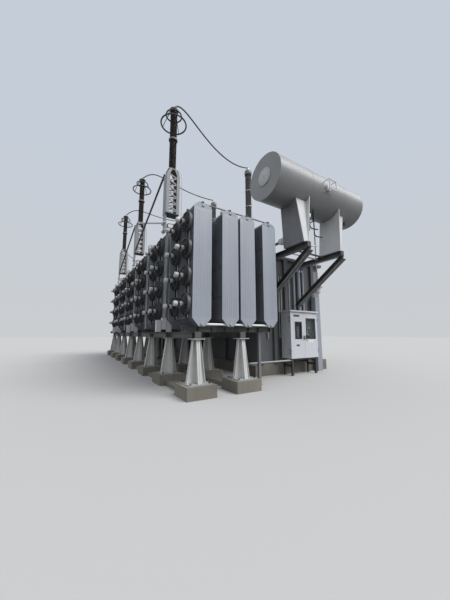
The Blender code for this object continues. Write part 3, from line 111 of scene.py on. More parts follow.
class Build:
    """Collects the faces of one piece, each painted with one of its finishes."""

    def __init__(self):
        self.points = []
        self.faces = []
        self.paints = []
        self.finishes = []

    def add(self, points, faces, finish):
        if finish not in self.finishes:
            self.finishes.append(finish)
        start = len(self.points)
        self.points += [tuple(point) for point in points]
        self.faces += [tuple(start + corner for corner in face) for face in faces]
        self.paints += [self.finishes.index(finish)] * len(faces)

    def box(self, low, high, finish):
        xs, ys, zs = zip(low, high)
        points = [(x, y, z) for z in zs for y in ys for x in xs]
        faces = [(0, 2, 3, 1), (4, 5, 7, 6), (0, 1, 5, 4), (2, 6, 7, 3), (0, 4, 6, 2), (1, 3, 7, 5)]
        self.add(points, faces, finish)

    def slab(self, centre, half, bottom, top, finish):
        """A box round an upright line."""
        (x, y), (half_x, half_y) = centre, half
        self.box((x - half_x, y - half_y, bottom), (x + half_x, y + half_y, top), finish)

    def loft(self, loops, finish, capped=True, closed=False):
        """Loops of points joined one to the next."""
        size = len(loops[0])
        points = [point for loop in loops for point in loop]
        faces = []
        spans = len(loops) if closed else len(loops) - 1
        for row in range(spans):
            near, far = row * size, (row + 1) % len(loops) * size
            for k in range(size):
                after = (k + 1) % size
                faces.append((near + k, near + after, far + after, far + k))
        if capped and not closed:
            faces.append(tuple(reversed(range(size))))
            faces.append(tuple(range(len(points) - size, len(points))))
        self.add(points, faces, finish)

    def prism(self, outline, start, end, across, finish):
        """A flat outline of (across, up) points carried from start to end."""
        start, end, across = Vector(start), Vector(end), Vector(across).normalized()
        up = (end - start).normalized().cross(across)
        self.loft([[place + across * x + up * y for x, y in outline] for place in (start, end)], finish)

    def lathe(self, profile, sides, foot, axis, finish, capped=True):
        """A profile of (radius, height) points turned about an axis at foot."""
        axis, side, other = square_to(axis)
        loops = []
        for radius, height in profile:
            centre = Vector(foot) + axis * height
            loops.append([centre + out * radius for out in circle(side, other, sides)])
        self.loft(loops, finish, capped)

    def disc(self, foot, axis, radius, thickness, sides, finish):
        self.lathe([(radius, 0), (radius, thickness)], sides, foot, axis, finish)

    def rod(self, start, end, radius, sides, finish):
        run = Vector(end) - Vector(start)
        self.disc(start, run, radius, run.length, sides, finish)

    def tube(self, route, radius, sides, finish):
        """A round tube along a route of points."""
        route = [Vector(point) for point in route]
        loops = []
        side = None
        for behind, point, ahead in zip(route[:1] + route, route, route[1:] + route[-1:]):
            run = (ahead - behind).normalized()
            side = run.orthogonal() if side is None else side - run * side.dot(run)
            side.normalize()
            loops.append([point + out * radius for out in circle(side, run.cross(side), sides)])
        self.loft(loops, finish)

    def ring(self, centre, axis, radius, thickness, around, sides, finish):
        """A round bar bent into a ring."""
        axis, side, other = square_to(axis)
        loops = []
        for out in circle(side, other, around):
            rim = Vector(centre) + out * radius
            loops.append([rim + spoke * thickness for spoke in circle(out, axis, sides)])
        self.loft(loops, finish, closed=True)

    def bolt(self, place, axis, size, finish):
        """A hexagon head on a washer."""
        self.lathe([(size * 1.5, -size * 0.3), (size * 1.5, size * 0.3)], 10, place, axis, finish)
        self.lathe([(size, 0), (size, size * 1.1), (size * 0.7, size * 1.3)], 6, place, axis, finish)

    def bolts(self, xs, ys, zs, axis, size, finish):
        """A bolt wherever the given places cross."""
        for place in product(xs, ys, zs):
            self.bolt(place, axis, size, finish)

    def bolt_circle(self, centre, axis, radius, count, size, finish):
        axis, side, other = square_to(axis)
        for out in circle(side, other, count, math.pi / count):
            self.bolt(Vector(centre) + out * radius, axis, size, finish)

    def flange(self, centre, axis, radius, thickness, bolts, finish, bolt_finish):
        """A round flange with its bolts on the side the axis points to."""
        edge = thickness * 0.15
        profile = [(radius - edge, 0), (radius, edge), (radius, thickness - edge), (radius - edge, thickness)]
        self.lathe(profile, 32, centre, axis, finish)
        top = Vector(centre) + Vector(axis).normalized() * thickness
        self.bolt_circle(top, axis, radius * 0.86, bolts, radius * 0.06, bolt_finish)

    def beam(self, start, end, up, width, depth, web, flange, finish):
        """A rolled beam from start to end, below the line that joins them."""
        half, low, thin = width / 2, -depth, web / 2
        left = [(-half, 0), (-half, -flange), (-thin, -flange), (-thin, low + flange), (-half, low + flange),
                (-half, low)]
        outline = left + [(-x, y) for x, y in reversed(left)]
        self.prism(outline, start, end, Vector(up).cross(Vector(end) - Vector(start)), finish)

    def object(self, name, smooth=40, bevel=0.0):
        mesh = bpy.data.meshes.new(name)
        mesh.from_pydata(self.points, [], self.faces)
        for finish in self.finishes:
            mesh.materials.append(finish)
        mesh.polygons.foreach_set("material_index", self.paints)
        mesh.validate()
        shell = bmesh.new()
        shell.from_mesh(mesh)
        bmesh.ops.recalc_face_normals(shell, faces=shell.faces)
        shell.to_mesh(mesh)
        shell.free()
        piece = bpy.data.objects.new(name, mesh)
        bpy.context.scene.collection.objects.link(piece)
        if smooth:
            mesh.shade_smooth()
            mesh.set_sharp_from_angle(angle=math.radians(smooth))
        if bevel:
            edge = bevelled(piece, bevel)
            edge.angle_limit = math.radians(50)
            edge.harden_normals = True
        return piece


def bevelled(piece, width):
    edge = piece.modifiers.new("edge", "BEVEL")
    edge.width = width
    edge.segments = 2
    edge.limit_method = "ANGLE"
    return edge


def placed(piece, nodes=(), body="transformer"):
    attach(piece, body)
    if nodes:
        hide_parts(*nodes)
    return piece


def repeated(build, name, node, count, step, smooth=40, bevel=0.0):
    """The same piece at a step along +Y, once for each CAD node of its kind."""
    first = build.object(f"{name}_1", smooth, bevel)
    pieces = [first] + [first.copy() for number in range(1, count)]
    for number, piece in enumerate(pieces):
        if number:
            piece.name = f"{name}_{number + 1}"
            bpy.context.scene.collection.objects.link(piece)
            piece.location.y = step * number
        placed(piece, [f"{node}_{number + 1}"])


# Finishes


def feed(tree, node, inputs):
    """Set each named input to its value, or link it to the output that is given for it."""
    for name, value in inputs.items():
        if isinstance(value, bpy.types.NodeSocket):
            tree.links.new(value, node.inputs[name])
        else:
            node.inputs[name].default_value = value
    return node


def new_node(tree, kind, inputs):
    return feed(tree, tree.nodes.new(kind), inputs)


def noise(tree, inputs):
    return new_node(tree, "ShaderNodeTexNoise", inputs).outputs["Fac"]


def spread(tree, inputs):
    return new_node(tree, "ShaderNodeMapRange", inputs).outputs["Result"]


def ramp(tree, share, stops):
    """A blend of two colours, each at its place along the ramp."""
    node = new_node(tree, "ShaderNodeValToRGB", {"Fac": share})
    for element, (place, colour) in zip(node.color_ramp.elements, stops):
        element.position = place
        element.color = (*colour, 1.0)
    return node.outputs["Color"]


def new_finish(name):
    finish = bpy.data.materials.new(name)
    finish.use_nodes = True
    return finish, finish.node_tree


def weathered(name, base, worn, rough=0.45, metallic=0.0, streaks=0.35, grain=6.0, bump=0.02, coat=0.0):
    """Paint or metal whose tone drifts in patches and streaks downward."""
    finish, tree = new_finish(name)
    place = tree.nodes.new("ShaderNodeTexCoord").outputs["Object"]
    stretch = new_node(tree, "ShaderNodeMapping", {"Vector": place, "Scale": (9.0, 9.0, 0.35)})
    patch = noise(tree, {"Vector": place, "Scale": 0.9, "Detail": 6.0, "Roughness": 0.6})
    streak = noise(tree, {"Vector": stretch.outputs["Vector"], "Scale": 1.0, "Detail": 4.0})
    fine = noise(tree, {"Vector": place, "Scale": grain * 20.0, "Detail": 3.0})
    joined = new_node(tree, "ShaderNodeMix", {"Factor": streaks, "A": patch, "B": streak})
    gloss = spread(tree, {"Value": patch, "To Min": rough - 0.10, "To Max": rough + 0.12})
    relief = new_node(tree, "ShaderNodeBump", {"Height": fine, "Strength": bump, "Distance": 0.01})
    feed(tree, tree.nodes["Principled BSDF"], {
        "Base Color": ramp(tree, joined.outputs["Result"], ((0.33, worn), (0.62, base))),
        "Roughness": gloss,
        "Normal": relief.outputs["Normal"],
        "Metallic": metallic,
        "Coat Weight": coat,
    })
    return finish


def glass_finish():
    """Thin glass: mostly see-through, with a mirror share at a slant."""
    finish, tree = new_finish("window_pane")
    tree.nodes.remove(tree.nodes["Principled BSDF"])
    dirt = noise(tree, {"Scale": 5.0})
    tint = ramp(tree, dirt, ((0.0, (0.78, 0.82, 0.81)), (1.0, (0.88, 0.92, 0.91))))
    through = new_node(tree, "ShaderNodeBsdfTransparent", {"Color": tint})
    shine = new_node(tree, "ShaderNodeBsdfGlossy", {"Roughness": 0.04})
    slant = tree.nodes.new("ShaderNodeLayerWeight").outputs["Facing"]
    share = spread(tree, {"Value": slant, "From Min": 0.4, "To Min": 0.04, "To Max": 0.35})
    mixed = new_node(tree, "ShaderNodeMixShader", {
        "Fac": share, 1: through.outputs["BSDF"], 2: shine.outputs["BSDF"]})
    feed(tree, tree.nodes["Material Output"], {"Surface": mixed.outputs["Shader"]})
    return finish


RADIATOR = weathered("radiator_paint", (0.37, 0.40, 0.45), (0.31, 0.34, 0.385), 0.42, streaks=0.5, coat=0.1)
# Radiator paint darkened as painted shade, for the plates and header rods deep inside each stack.
RADIATOR_PAINTED_SHADE = weathered("radiator_painted_shade", (0.15, 0.165, 0.19), (0.11, 0.12, 0.14), 0.50)
# Radiator paint half darkened as painted shade, for the spacer bars between the plates and the rim behind the
# drum's hatch lid.
RADIATOR_PAINTED_HALF_SHADE = weathered("radiator_painted_half_shade", (0.21, 0.23, 0.26), (0.16, 0.175, 0.20), 0.55)
DRUM = weathered("drum_paint", (0.30, 0.305, 0.31), (0.255, 0.26, 0.265), 0.42, streaks=0.25, coat=0.05)
SADDLE = weathered("saddle_paint", (0.64, 0.65, 0.66), (0.55, 0.56, 0.57), 0.45, streaks=0.25)
# Drum paint made much lighter than the shell as painted light, for the flat end and its hatch lid.
DRUM_END_PAINTED_LIGHT = weathered("drum_end_painted_light", (0.54, 0.54, 0.535), (0.48, 0.48, 0.475), 0.42, streaks=0.25)
# Tank paint darkened well below the cover's, as painted shade on the walls.
TANK_PAINTED_SHADE = weathered("tank_paint", (0.125, 0.13, 0.138), (0.09, 0.094, 0.10), 0.50)
COVER = weathered("cover_paint", (0.30, 0.31, 0.33), (0.23, 0.24, 0.26), 0.48)
GALVANISED = weathered("galvanised", (0.46, 0.47, 0.48), (0.36, 0.37, 0.38), 0.50, 0.35, grain=2.0)
POST = weathered("post_steel", (0.22, 0.225, 0.235), (0.16, 0.165, 0.175), 0.55, 0.2)
DARK = weathered("dark_steel", (0.085, 0.085, 0.085), (0.045, 0.045, 0.045), 0.60, 0.3)
BEAM = weathered("beam_steel", (0.13, 0.13, 0.13), (0.07, 0.07, 0.07), 0.55, 0.3)
BEAM_PALE = weathered("laced_steel", (0.30, 0.305, 0.31), (0.21, 0.215, 0.22), 0.52, 0.15)
PEDESTAL = weathered("pedestal_steel", (0.68, 0.68, 0.665), (0.50, 0.50, 0.485), 0.60)
RING = weathered("fan_ring", (0.085, 0.088, 0.09), (0.05, 0.052, 0.054), 0.50, 0.3)
FAN = weathered("fan_steel", (0.055, 0.058, 0.06), (0.03, 0.032, 0.034), 0.50, 0.3)
MOTOR = weathered("motor_paint", (0.62, 0.63, 0.63), (0.40, 0.41, 0.42), 0.45)
BLACK = weathered("black_rubber", (0.022, 0.022, 0.022), (0.012, 0.012, 0.012), 0.70)
BROWN = weathered("brown_glaze", (0.080, 0.070, 0.064), (0.052, 0.045, 0.041), 0.42, coat=0.05)
GREY_GLAZE = weathered("grey_glaze", (0.19, 0.19, 0.19), (0.14, 0.14, 0.14), 0.32, coat=0.2)
METAL = weathered("bright_metal", (0.52, 0.52, 0.51), (0.38, 0.38, 0.37), 0.38, 0.7)
CABLE = weathered("cable_metal", (0.075, 0.075, 0.075), (0.045, 0.045, 0.045), 0.50, 0.4)
WHITE = weathered("cabinet_white", (0.70, 0.71, 0.75), (0.63, 0.64, 0.68), 0.38, streaks=0.6, coat=0.15)
CONCRETE = weathered("aged_concrete", (0.25, 0.235, 0.20), (0.155, 0.145, 0.125), 0.92,
                     streaks=0.2, grain=3.0, bump=0.25)
GREEN = weathered("instrument_green", (0.46, 0.56, 0.51), (0.38, 0.47, 0.43), 0.50)
DIAL = weathered("dial_face", (0.78, 0.78, 0.76), (0.72, 0.72, 0.70), 0.40)
PLACARD = weathered("pale_label", (0.86, 0.87, 0.88), (0.80, 0.81, 0.82), 0.45)
PANE = glass_finish()


# Plinth, tank and cover


def bevelled_node(name, finish, width):
    """A plain CAD solid that stays in view, with a finish and softened edges."""
    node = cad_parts[name]
    node.data.materials.clear()
    node.data.materials.append(finish)
    bevelled(node, width)


def rim_places(low, high):
    """Where bolts sit on a rim: in even steps along its sides, then along its ends."""
    inset, end = 0.05, 0.06
    for axis, count in ((1, 60), (0, 17)):
        span = high[axis] - low[axis] - 2 * end
        for k in range(count):
            along = low[axis] + end + span * k / (count - 1)
            for edge in (low[1 - axis] + inset, high[1 - axis] - inset):
                yield (edge, along) if axis else (along, edge)


def build_tank():
    """Ribbed walls under a bolted rim, jacking blocks, and the ducts and conduits on the near end."""
    low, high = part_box("tank")
    build = Build()
    rim, lip, rib, wide = 0.12, 0.06, 0.10, 0.16
    side, end = high.x - rim, high.y - rim
    # The walls, rim, ribs and jacking blocks take the darkened tank paint, painted shade.
    build.box((-side, -end, low.z), (side, end, high.z), TANK_PAINTED_SHADE)
    build.box((low.x, low.y, high.z - lip), high, TANK_PAINTED_SHADE)
    rib_top = high.z - lip - 0.002
    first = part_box("radiator_bank_1")[0].y + RADIATOR_DEPTH / 2
    rib_ys = [first + bay * BAY_PITCH + shift for bay in range(BAYS) for shift in (-0.35, 0.35)]
    for y in (y for y in rib_ys if abs(y) < end - wide):
        for x in (-side - rib, side):
            build.box((x, y - wide / 2, low.z), (x + rib, y + wide / 2, rib_top), TANK_PAINTED_SHADE)
    end_ribs, jack_ys = (-1.62, -0.96, -0.36, 0.72, 1.20), (-5.6, -1.9, 1.9, 5.6)
    for x in end_ribs:
        for y in (-end - rib, end):
            build.box((x - wide / 2, y, low.z), (x + wide / 2, y + rib, rib_top), TANK_PAINTED_SHADE)
    for jack in product((-side, side), jack_ys):
        build.slab(jack, (0.09, 0.16), low.z + 0.10, low.z + 0.16, TANK_PAINTED_SHADE)
    for x, y in rim_places(low, high):
        build.disc((x, y, high.z - lip - 0.022), UP, 0.018, 0.022, 6, METAL)
    ducts, conduits = ((0.10, 0.08), (0.38, 0.14), (0.62, 0.09), (0.77, 0.06)), (-1.30, -0.72, -0.60, -0.16)
    for x, width in ducts:
        out = -end - 0.07
        build.tube([(x, out, 1.9), (x, out, 4.02), (x, -end - 0.02, 4.10)], width / 2, 12, RADIATOR)
        build.box((x - width * 0.7, -end - 0.10, 3.98), (x + width * 0.7, -end, 4.03), PLACARD)
        for z in (2.3, 3.1):
            build.box((x - width * 0.6, -end - 0.09, z), (x + width * 0.6, -end, z + 0.03), GALVANISED)
    for x in conduits:
        out = -end - 0.05
        build.tube([(x, out, 1.3), (x, out, 3.6), (x, -end - 0.01, 3.66)], 0.022, 10, GALVANISED)
    screen_left, screen_right, screen_foot, screen_top = 1.16, 1.66, 1.2, 4.12
    build.box((screen_left, -end - 0.05, screen_foot), (screen_right, -end, screen_top), DRUM)
    placed(build.object("tank_walls", bevel=0.006), ["tank"])


def build_cover():
    """The bolted cover with its hatches, lifting lugs and vent pipes."""
    low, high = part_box("tank_cover")
    top = high.z
    build = Build()
    build.box(low, high, COVER)
    for x, y in rim_places(low, high):
        build.bolt((x, y, top), UP, 0.016, METAL)
    hatch_x, hatch_ys, vent_ys = 0.85, (-4.6, 1.5, 5.0), (-2.0, 1.6, 4.8)
    for y in hatch_ys:
        build.flange((hatch_x, y, top), UP, 0.30, 0.035, 16, COVER, METAL)
    lug = [(-0.10, 0), (0.10, 0), (0.06, 0.16), (0, 0.19), (-0.06, 0.16)]
    for x, y in product((-1.2, 1.2), (-5.4, 5.6)):
        build.prism(lug, (x, y - 0.02, top), (x, y + 0.02, top), RIGHT, COVER)
    for y in vent_ys:
        build.tube([(0.5, y, top), (0.5, y, top + 0.16), (0.9, y, top + 0.16), (0.9, y, top + 0.02)],
                   0.025, 10, COVER)
    placed(build.object("tank_cover_plate", bevel=0.004), ["tank_cover"])


# Stand under the radiators


def build_pedestals(name):
    """One row: a rail along the top, and under it pedestals on bolted base plates."""
    low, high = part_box(f"{name}_pedestals")
    x = (low.x + high.x) / 2
    build = Build()
    depth, flange, plate, cap_half, cap = 0.16, 0.014, 0.025, 0.16, 0.02
    base, neck, bolt_reach = 0.24, 0.10, 0.24
    foot, top = low.z, high.z
    rail = top - depth
    build.beam((x, low.y + 0.18, top), (x, high.y - 0.18, top), UP, 0.18, depth, 0.012, flange, BEAM)
    first, last = low.y + BASE_HALF, high.y - BASE_HALF
    for y in (first + (last - first) * k / (PEDESTALS - 1) for k in range(PEDESTALS)):
        build.slab((x, y), (BASE_HALF, BASE_HALF), foot, foot + plate, GALVANISED)
        pedestal(build, Vector((x, y, foot + plate)), rail - foot - plate - cap, base, neck)
        build.slab((x, y), (cap_half, cap_half), rail - cap, rail, GALVANISED)
        corners = (x - bolt_reach, x + bolt_reach), (y - bolt_reach, y + bolt_reach)
        build.bolts(*corners, (foot + plate,), UP, 0.022, DARK)
        for stiffener in (y - 0.10, y + 0.10):
            build.slab((x, stiffener), (0.085, 0.006), rail + 0.012, top - flange, BEAM)
    placed(build.object(f"{name}_pedestal_row", smooth=30, bevel=0.003), [f"{name}_pedestals"])


def pedestal(build, foot, height, base, top):
    """A tapered cross of four fins, each with a narrow flange along its edge."""
    flange, fin_half, flange_half = 0.016, 0.008, 0.05
    fin = [(0, 0), (base, 0), (top, height), (0, height)]
    edge = [(base - flange, 0), (base, 0), (top, height), (top - flange, height)]
    for out in (LEFT, RIGHT, FRONT, BACK):
        other = UP.cross(out)
        for outline, half in ((fin, fin_half), (edge, flange_half)):
            sides = (foot - other * half, foot + other * half)
            build.loft([[side + out * a + UP * b for a, b in outline] for side in sides], PEDESTAL)
    build.lathe([(0.055, 0), (0.035, height)], 4, foot, UP, PEDESTAL)


def build_front_frame():
    """The first cross beam with its slim leg, and a low bar that runs on to the cabinet."""
    low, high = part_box("front_frame")
    build = Build()
    y, top, depth, leg, beam_end = low.y + 0.07, high.z, 0.14, -2.60, -2.119
    stiffeners = (low.x + 0.05, -4.6, -4.2, -3.8, -3.0, -2.65, -2.2)
    build.beam((low.x, y, top), (beam_end, y, top), UP, 0.14, depth, 0.010, 0.012, BEAM)
    for x in stiffeners:
        build.slab((x, y), (0.005, 0.065), top - 0.13, top - 0.012, BEAM)
    for half, bottom, end in ((0.04, 0.02, top - depth), (0.06, 0, 0.02)):
        build.slab((leg, y), (half, half), bottom, end, POST)
    bar, turn = 0.53, -6.724
    build.tube([(leg, y, bar), (leg, turn - 0.05, bar), (leg + 0.015, turn - 0.015, bar),
                (leg + 0.05, turn, bar), (high.x, turn, bar)], 0.028, 14, GALVANISED)
    placed(build.object("front_beam", smooth=30, bevel=0.003), ["front_frame"])


def build_header_frames():
    """Posts and cross beams, and the oil manifolds that hang between them."""
    low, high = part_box("header_frame_1")
    y, top, half = HEADER_Y, high.z, POST_HALF
    steel = Build()
    size, web, flange = 0.14, 0.010, 0.012
    steel.beam((low.x, y, BEAM_TOP), (TANK_WALL_X, y, BEAM_TOP), UP, size, size, web, flange, BEAM)
    # The last two boxes are a real cap and clamp on the post top, made bright metal as a painted highlight.
    for reach, bottom, end, finish in (
            (half, BEAM_TOP, top - 0.03, POST),
            (half + 0.02, BEAM_TOP, BEAM_TOP + 0.02, POST),
            (half, top - 0.03, top, METAL),
            (half + 0.01, top - 0.17, top - 0.04, METAL)):
        steel.slab((POST_X, y), (reach, reach), bottom, end, finish)
    plate, plate_heights = POST_X - half - 0.012, (2.0, 2.72, 3.44, 4.16)
    for z in plate_heights:
        steel.box((plate, y - 0.07, z), (POST_X - half, y + 0.07, z + 0.10), POST)
        steel.bolts((plate,), (y - 0.045, y + 0.045), (z + 0.05,), LEFT, 0.012, METAL)
    repeated(steel, "header_post", "header_frame", BAYS, BAY_PITCH, 30, 0.004)

    pipes = Build()
    near, manifold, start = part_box("radiator_bank_1")[1].y, 0.098, POST_X + half
    bottom_z, top_z = PANEL_BOTTOM + 0.05, PANEL_BOTTOM + PANEL_HEIGHT - 0.05
    drop_x, valve_x = -1.30, -1.86
    elbow = [(drop_x - 0.22, y, top_z), (drop_x - 0.09, y, top_z - 0.02), (drop_x - 0.02, y, top_z - 0.09),
             (drop_x, y, top_z - 0.20)]
    pipes.tube([(start, y, top_z), *elbow, (drop_x, y, COVER_TOP + 0.02)], manifold, 24, RADIATOR)
    pipes.flange((drop_x, y, COVER_TOP + 0.001), UP, 0.17, 0.03, 8, RADIATOR, METAL)
    pipes.tube([(start, y, bottom_z), (TANK_WALL_X - 0.02, y, bottom_z)], manifold, 24, RADIATOR)
    pipes.flange((TANK_WALL_X - 0.001, y, bottom_z), LEFT, 0.17, 0.035, 8, RADIATOR, METAL)
    for z in (bottom_z, top_z):
        for shift in (-0.07, 0.04):
            pipes.disc((valve_x + shift, y, z), RIGHT, 0.155, 0.03, 28, RADIATOR)
        wheel = (valve_x, y - 0.20, z)
        pipes.rod((valve_x, y, z), wheel, 0.03, 12, METAL)
        pipes.ring(wheel, BACK, 0.085, 0.010, 20, 6, BLACK)
        for x in radiator_xs():
            pipes.flange((x, near - 0.06, z), FRONT, 0.075, 0.02, 6, RADIATOR, METAL)
            pipes.rod((x, near - 0.06, z), (x, y, z), 0.045, 16, RADIATOR)
            pipes.ring((x, near - 0.035, z), BACK, 0.05, 0.012, 16, 6, DARK)
    repeated(pipes, "oil_manifold", "header_frame", BAYS, BAY_PITCH)


# Radiators


def radiator_xs():
    """Centres of the radiators across a bank."""
    places = [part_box("radiator_bank_1")[0].x + PANEL_WIDTH / 2]
    for gap in RADIATOR_GAPS:
        places.append(places[-1] + PANEL_WIDTH + gap)
    return places


def plate_outline(inset):
    """A plate's front: chamfered at the top, drawn in to a tip at the bottom."""
    half, tip, height = PANEL_WIDTH / 2 - inset, TIP_WIDTH / 2 - inset * 0.5, PANEL_HEIGHT - inset
    neck, shoulder = TIP_DROP + inset * 0.4, height - PANEL_CHAMFER
    return [(-tip, inset), (tip, inset), (half, neck), (half, shoulder), (half - PANEL_CHAMFER, height),
            (PANEL_CHAMFER - half, height), (-half, shoulder), (-half, neck)]


def plain_plate(build, x, y, layers, finish):
    """A plate whose outline draws in by an inset at each offset through it."""
    loops = [[(x + a, y + offset, PANEL_BOTTOM + b) for a, b in plate_outline(inset)]
             for inset, offset in layers]
    build.loft(loops, finish)


def fluted_plate(build, x, y, facing):
    """An outer plate, pressed into upright flutes."""
    plain_plate(build, x, y, [(0.004, facing * -0.006), (0.0, facing * 0.002)], RADIATOR)
    margin, land, slope, run_out = 0.022, 0.006, 0.016, 0.05
    pitch = (PANEL_WIDTH - 2 * margin) / FLUTES
    low, high = PANEL_BOTTOM + TIP_DROP + 0.03, PANEL_BOTTOM + PANEL_HEIGHT - PANEL_CHAMFER - 0.03
    face, crest = y + facing * 0.002, y + facing * PLATE_HALF
    for number in range(FLUTES):
        left = x - PANEL_WIDTH / 2 + margin + number * pitch + land
        right = left + pitch - 2 * land
        outer = [(left, face, low), (right, face, low), (right, face, high), (left, face, high)]
        inner = [(left + slope, crest, low + run_out), (right - slope, crest, low + run_out),
                 (right - slope, crest, high - run_out), (left + slope, crest, high - run_out)]
        if facing > 0:
            outer, inner = outer[::-1], inner[::-1]
        faces = [(0, 1, 5, 4), (1, 2, 6, 5), (2, 3, 7, 6), (3, 0, 4, 7), (4, 5, 6, 7)]
        build.add(outer + inner, faces, RADIATOR)


def build_radiators():
    front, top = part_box("radiator_bank_1")[0].y, PANEL_BOTTOM + PANEL_HEIGHT
    back = front + RADIATOR_DEPTH
    group = (RADIATOR_DEPTH - (PANEL_GROUPS - 1) * GROUP_GAP) / PANEL_GROUPS
    pitch = (group - 2 * PLATE_HALF) / (PLATES_A_GROUP - 1)
    ys = [front + PLATE_HALF + number * (group + GROUP_GAP) + k * pitch
          for number in range(PANEL_GROUPS) for k in range(PLATES_A_GROUP)]
    edge_thin = [(0.016, -PLATE_HALF), (0.0, -0.003), (0.0, 0.003), (0.016, PLATE_HALF)]
    xs = radiator_xs()
    build = Build()
    for x in xs:
        fluted_plate(build, x, ys[0], -1)
        fluted_plate(build, x, ys[-1], 1)
        # The plates between the two fluted ones take the darkened radiator paint, painted shade.
        for y in ys[1:-1]:
            plain_plate(build, x, y, edge_thin, RADIATOR_PAINTED_SHADE)
        # The header rods through the stack take the darkened radiator paint as painted shade; their front
        # caps keep the plain paint.
        for z in (PANEL_BOTTOM + 0.055, top - 0.055):
            end = (x, front + 0.004, z)
            build.rod(end, (x, back, z), 0.045, 16, RADIATOR_PAINTED_SHADE)
            build.lathe([(0.040, 0), (0.040, 0.012), (0.030, 0.018)], 18, end, FRONT, RADIATOR)
        # Spacer bars along the plate edges, in the half-darkened radiator paint as painted shade.
        for z in (PANEL_BOTTOM + PANEL_HEIGHT * share for share in (0.25, 0.5, 0.75)):
            for edge in (x - PANEL_WIDTH / 2 + 0.004, x + PANEL_WIDTH / 2 - 0.004):
                build.box((edge - 0.004, front + 0.02, z - 0.010), (edge + 0.004, back - 0.02, z + 0.010),
                          RADIATOR_PAINTED_HALF_SHADE)
    rod_y, lug_z = front + 0.07, top + 0.012
    rod_z = lug_z + 0.022
    build.rod((xs[0] - 0.10, rod_y, rod_z), (xs[-1] + 0.10, rod_y, rod_z), 0.020, 14, BEAM_PALE)
    lug = [(-0.045, -0.06), (0.045, -0.06), (0.03, 0.03), (-0.03, 0.03)]
    for x in xs:
        build.prism(lug, (x, rod_y - 0.012, lug_z), (x, rod_y + 0.012, lug_z), RIGHT, BEAM_PALE)
        build.rod((x, rod_y - 0.05, lug_z + 0.026), (x, rod_y + 0.05, lug_z + 0.026), 0.036, 14, DARK)
        build.rod((x - 0.05, rod_y, rod_z), (x - 0.03, rod_y, rod_z), 0.032, 6, METAL)
    for left, right in zip(xs, xs[1:]):
        ends = [Vector((x, rod_y, PANEL_BOTTOM + 0.05)) for x in (left + 0.07, right - 0.07)]
        build.rod(*ends, 0.030, 18, PLACARD)
        for place, inward in zip(ends, (RIGHT, LEFT)):
            build.disc(place, inward, 0.044, 0.02, 18, RADIATOR)
    repeated(build, "radiators", "radiator_bank", BAYS, BAY_PITCH)


# Fans and their boxes


def fan(build, back, y, z):
    """Ring housing, sloping wire guard, blades, and a long motor carried out in front."""
    centre, out = Vector((back, y, z)), LEFT
    housing = [(0.280, 0.0), (0.280, 0.068), (0.272, 0.072), (0.266, 0.066), (0.266, 0.0)]
    build.lathe(housing, 32, centre, out, RING, capped=False)
    build.ring(centre + out * 0.07, out, 0.274, 0.007, 32, 6, RING)
    flat, knee = 0.128, 0.215
    for radius in (0.095 + k * 0.034 for k in range(6)):
        height = flat - max(radius - knee, 0) * 0.9
        build.ring(centre + out * height, out, radius, 0.003, 24, 4, FAN)
    for away in circle(BACK, UP, 16):
        build.tube([centre + away * 0.07 + out * 0.125, centre + away * 0.212 + out * 0.125,
                    centre + away * 0.274 + out * 0.07], 0.0035, 4, FAN)
    for spoke in circle(BACK, UP, 6):
        blade(build, centre + out * 0.045, out, spoke)
    build.disc(centre, out, 0.060, 0.10, 18, FAN)
    build.lathe([(0.058, 0.098), (0.065, 0.105), (0.065, 0.182), (0.056, 0.188)], 20, centre, out, MOTOR)
    build.disc(centre + out * 0.190, out, 0.058, 0.060, 20, BLACK)
    for height in (0.205, 0.220, 0.235):
        build.ring(centre + out * height, out, 0.060, 0.004, 20, 4, FAN)
    cap = [(0.062, 0.248), (0.070, 0.252), (0.070, 0.318), (0.056, 0.338), (0.022, 0.3445)]
    build.lathe(cap, 20, centre, out, MOTOR)
    build.rod(centre + out * 0.33, centre + out * 0.3449, 0.016, 10, BLACK)
    for away in circle(BACK, UP, 4, math.radians(45)):
        build.rod(centre + away * 0.06 + out * 0.115, centre + away * 0.272 + out * 0.060, 0.010, 6, FAN)
    box = Vector((back - 0.19, y - 0.04, z - 0.115))
    build.box(box, box + Vector((0.08, 0.08, 0.05)), FAN)
    build.tube([box + Vector((0.04, 0.04, 0)), box + Vector((0.045, 0.03, -0.09)),
                (back - 0.09, y - 0.05, z - 0.27), (back - 0.01, y - 0.07, z - 0.31)], 0.009, 6, BLACK)


def blade(build, hub, out, spoke):
    """One wide fan blade, twisted from its root to its tip."""
    sweep = out.cross(spoke)
    loops = []
    for radius, twist, half in ((0.06, 0.9, 0.030), (0.16, 0.55, 0.060), (0.255, 0.35, 0.070)):
        along = sweep * math.cos(twist) + out * math.sin(twist)
        lead, trail = [hub + spoke * radius + along * reach for reach in (-half, half)]
        normal = along.cross(spoke) * 0.0025
        loops.append([lead - normal, trail - normal, trail + normal, lead + normal])
    build.loft(loops, DARK)


def build_fans():
    low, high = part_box("fan_bank_1")
    mount = high.x - 0.04
    columns = (low.y + 0.28, low.y + 1.06)
    bottom, top = low.z, high.z
    half, deep, thin = 0.035, 0.04, 0.006
    channel = [(-half, 0), (-half, deep), (half, deep), (half, deep + thin), (thin - half, deep + thin),
               (thin - half, -thin), (half, -thin), (half, 0)]
    build = Build()
    for y in columns:
        build.prism(channel, (mount, y, bottom), (mount, y, top), BACK, FAN)
        for row in range(4):
            fan(build, mount, y, PANEL_BOTTOM + 0.55 + 0.72 * row)
        build.tube([(mount + 0.01, y - 0.07, bottom + 0.02), (mount + 0.01, y - 0.07, top - 0.25)],
                   0.012, 8, GALVANISED)
    for z in (bottom, top - 0.06):
        build.box((high.x - 0.02, columns[0], z), (high.x, columns[1], z + 0.06), FAN)
    repeated(build, "fans", "fan_bank", BAYS, BAY_PITCH)


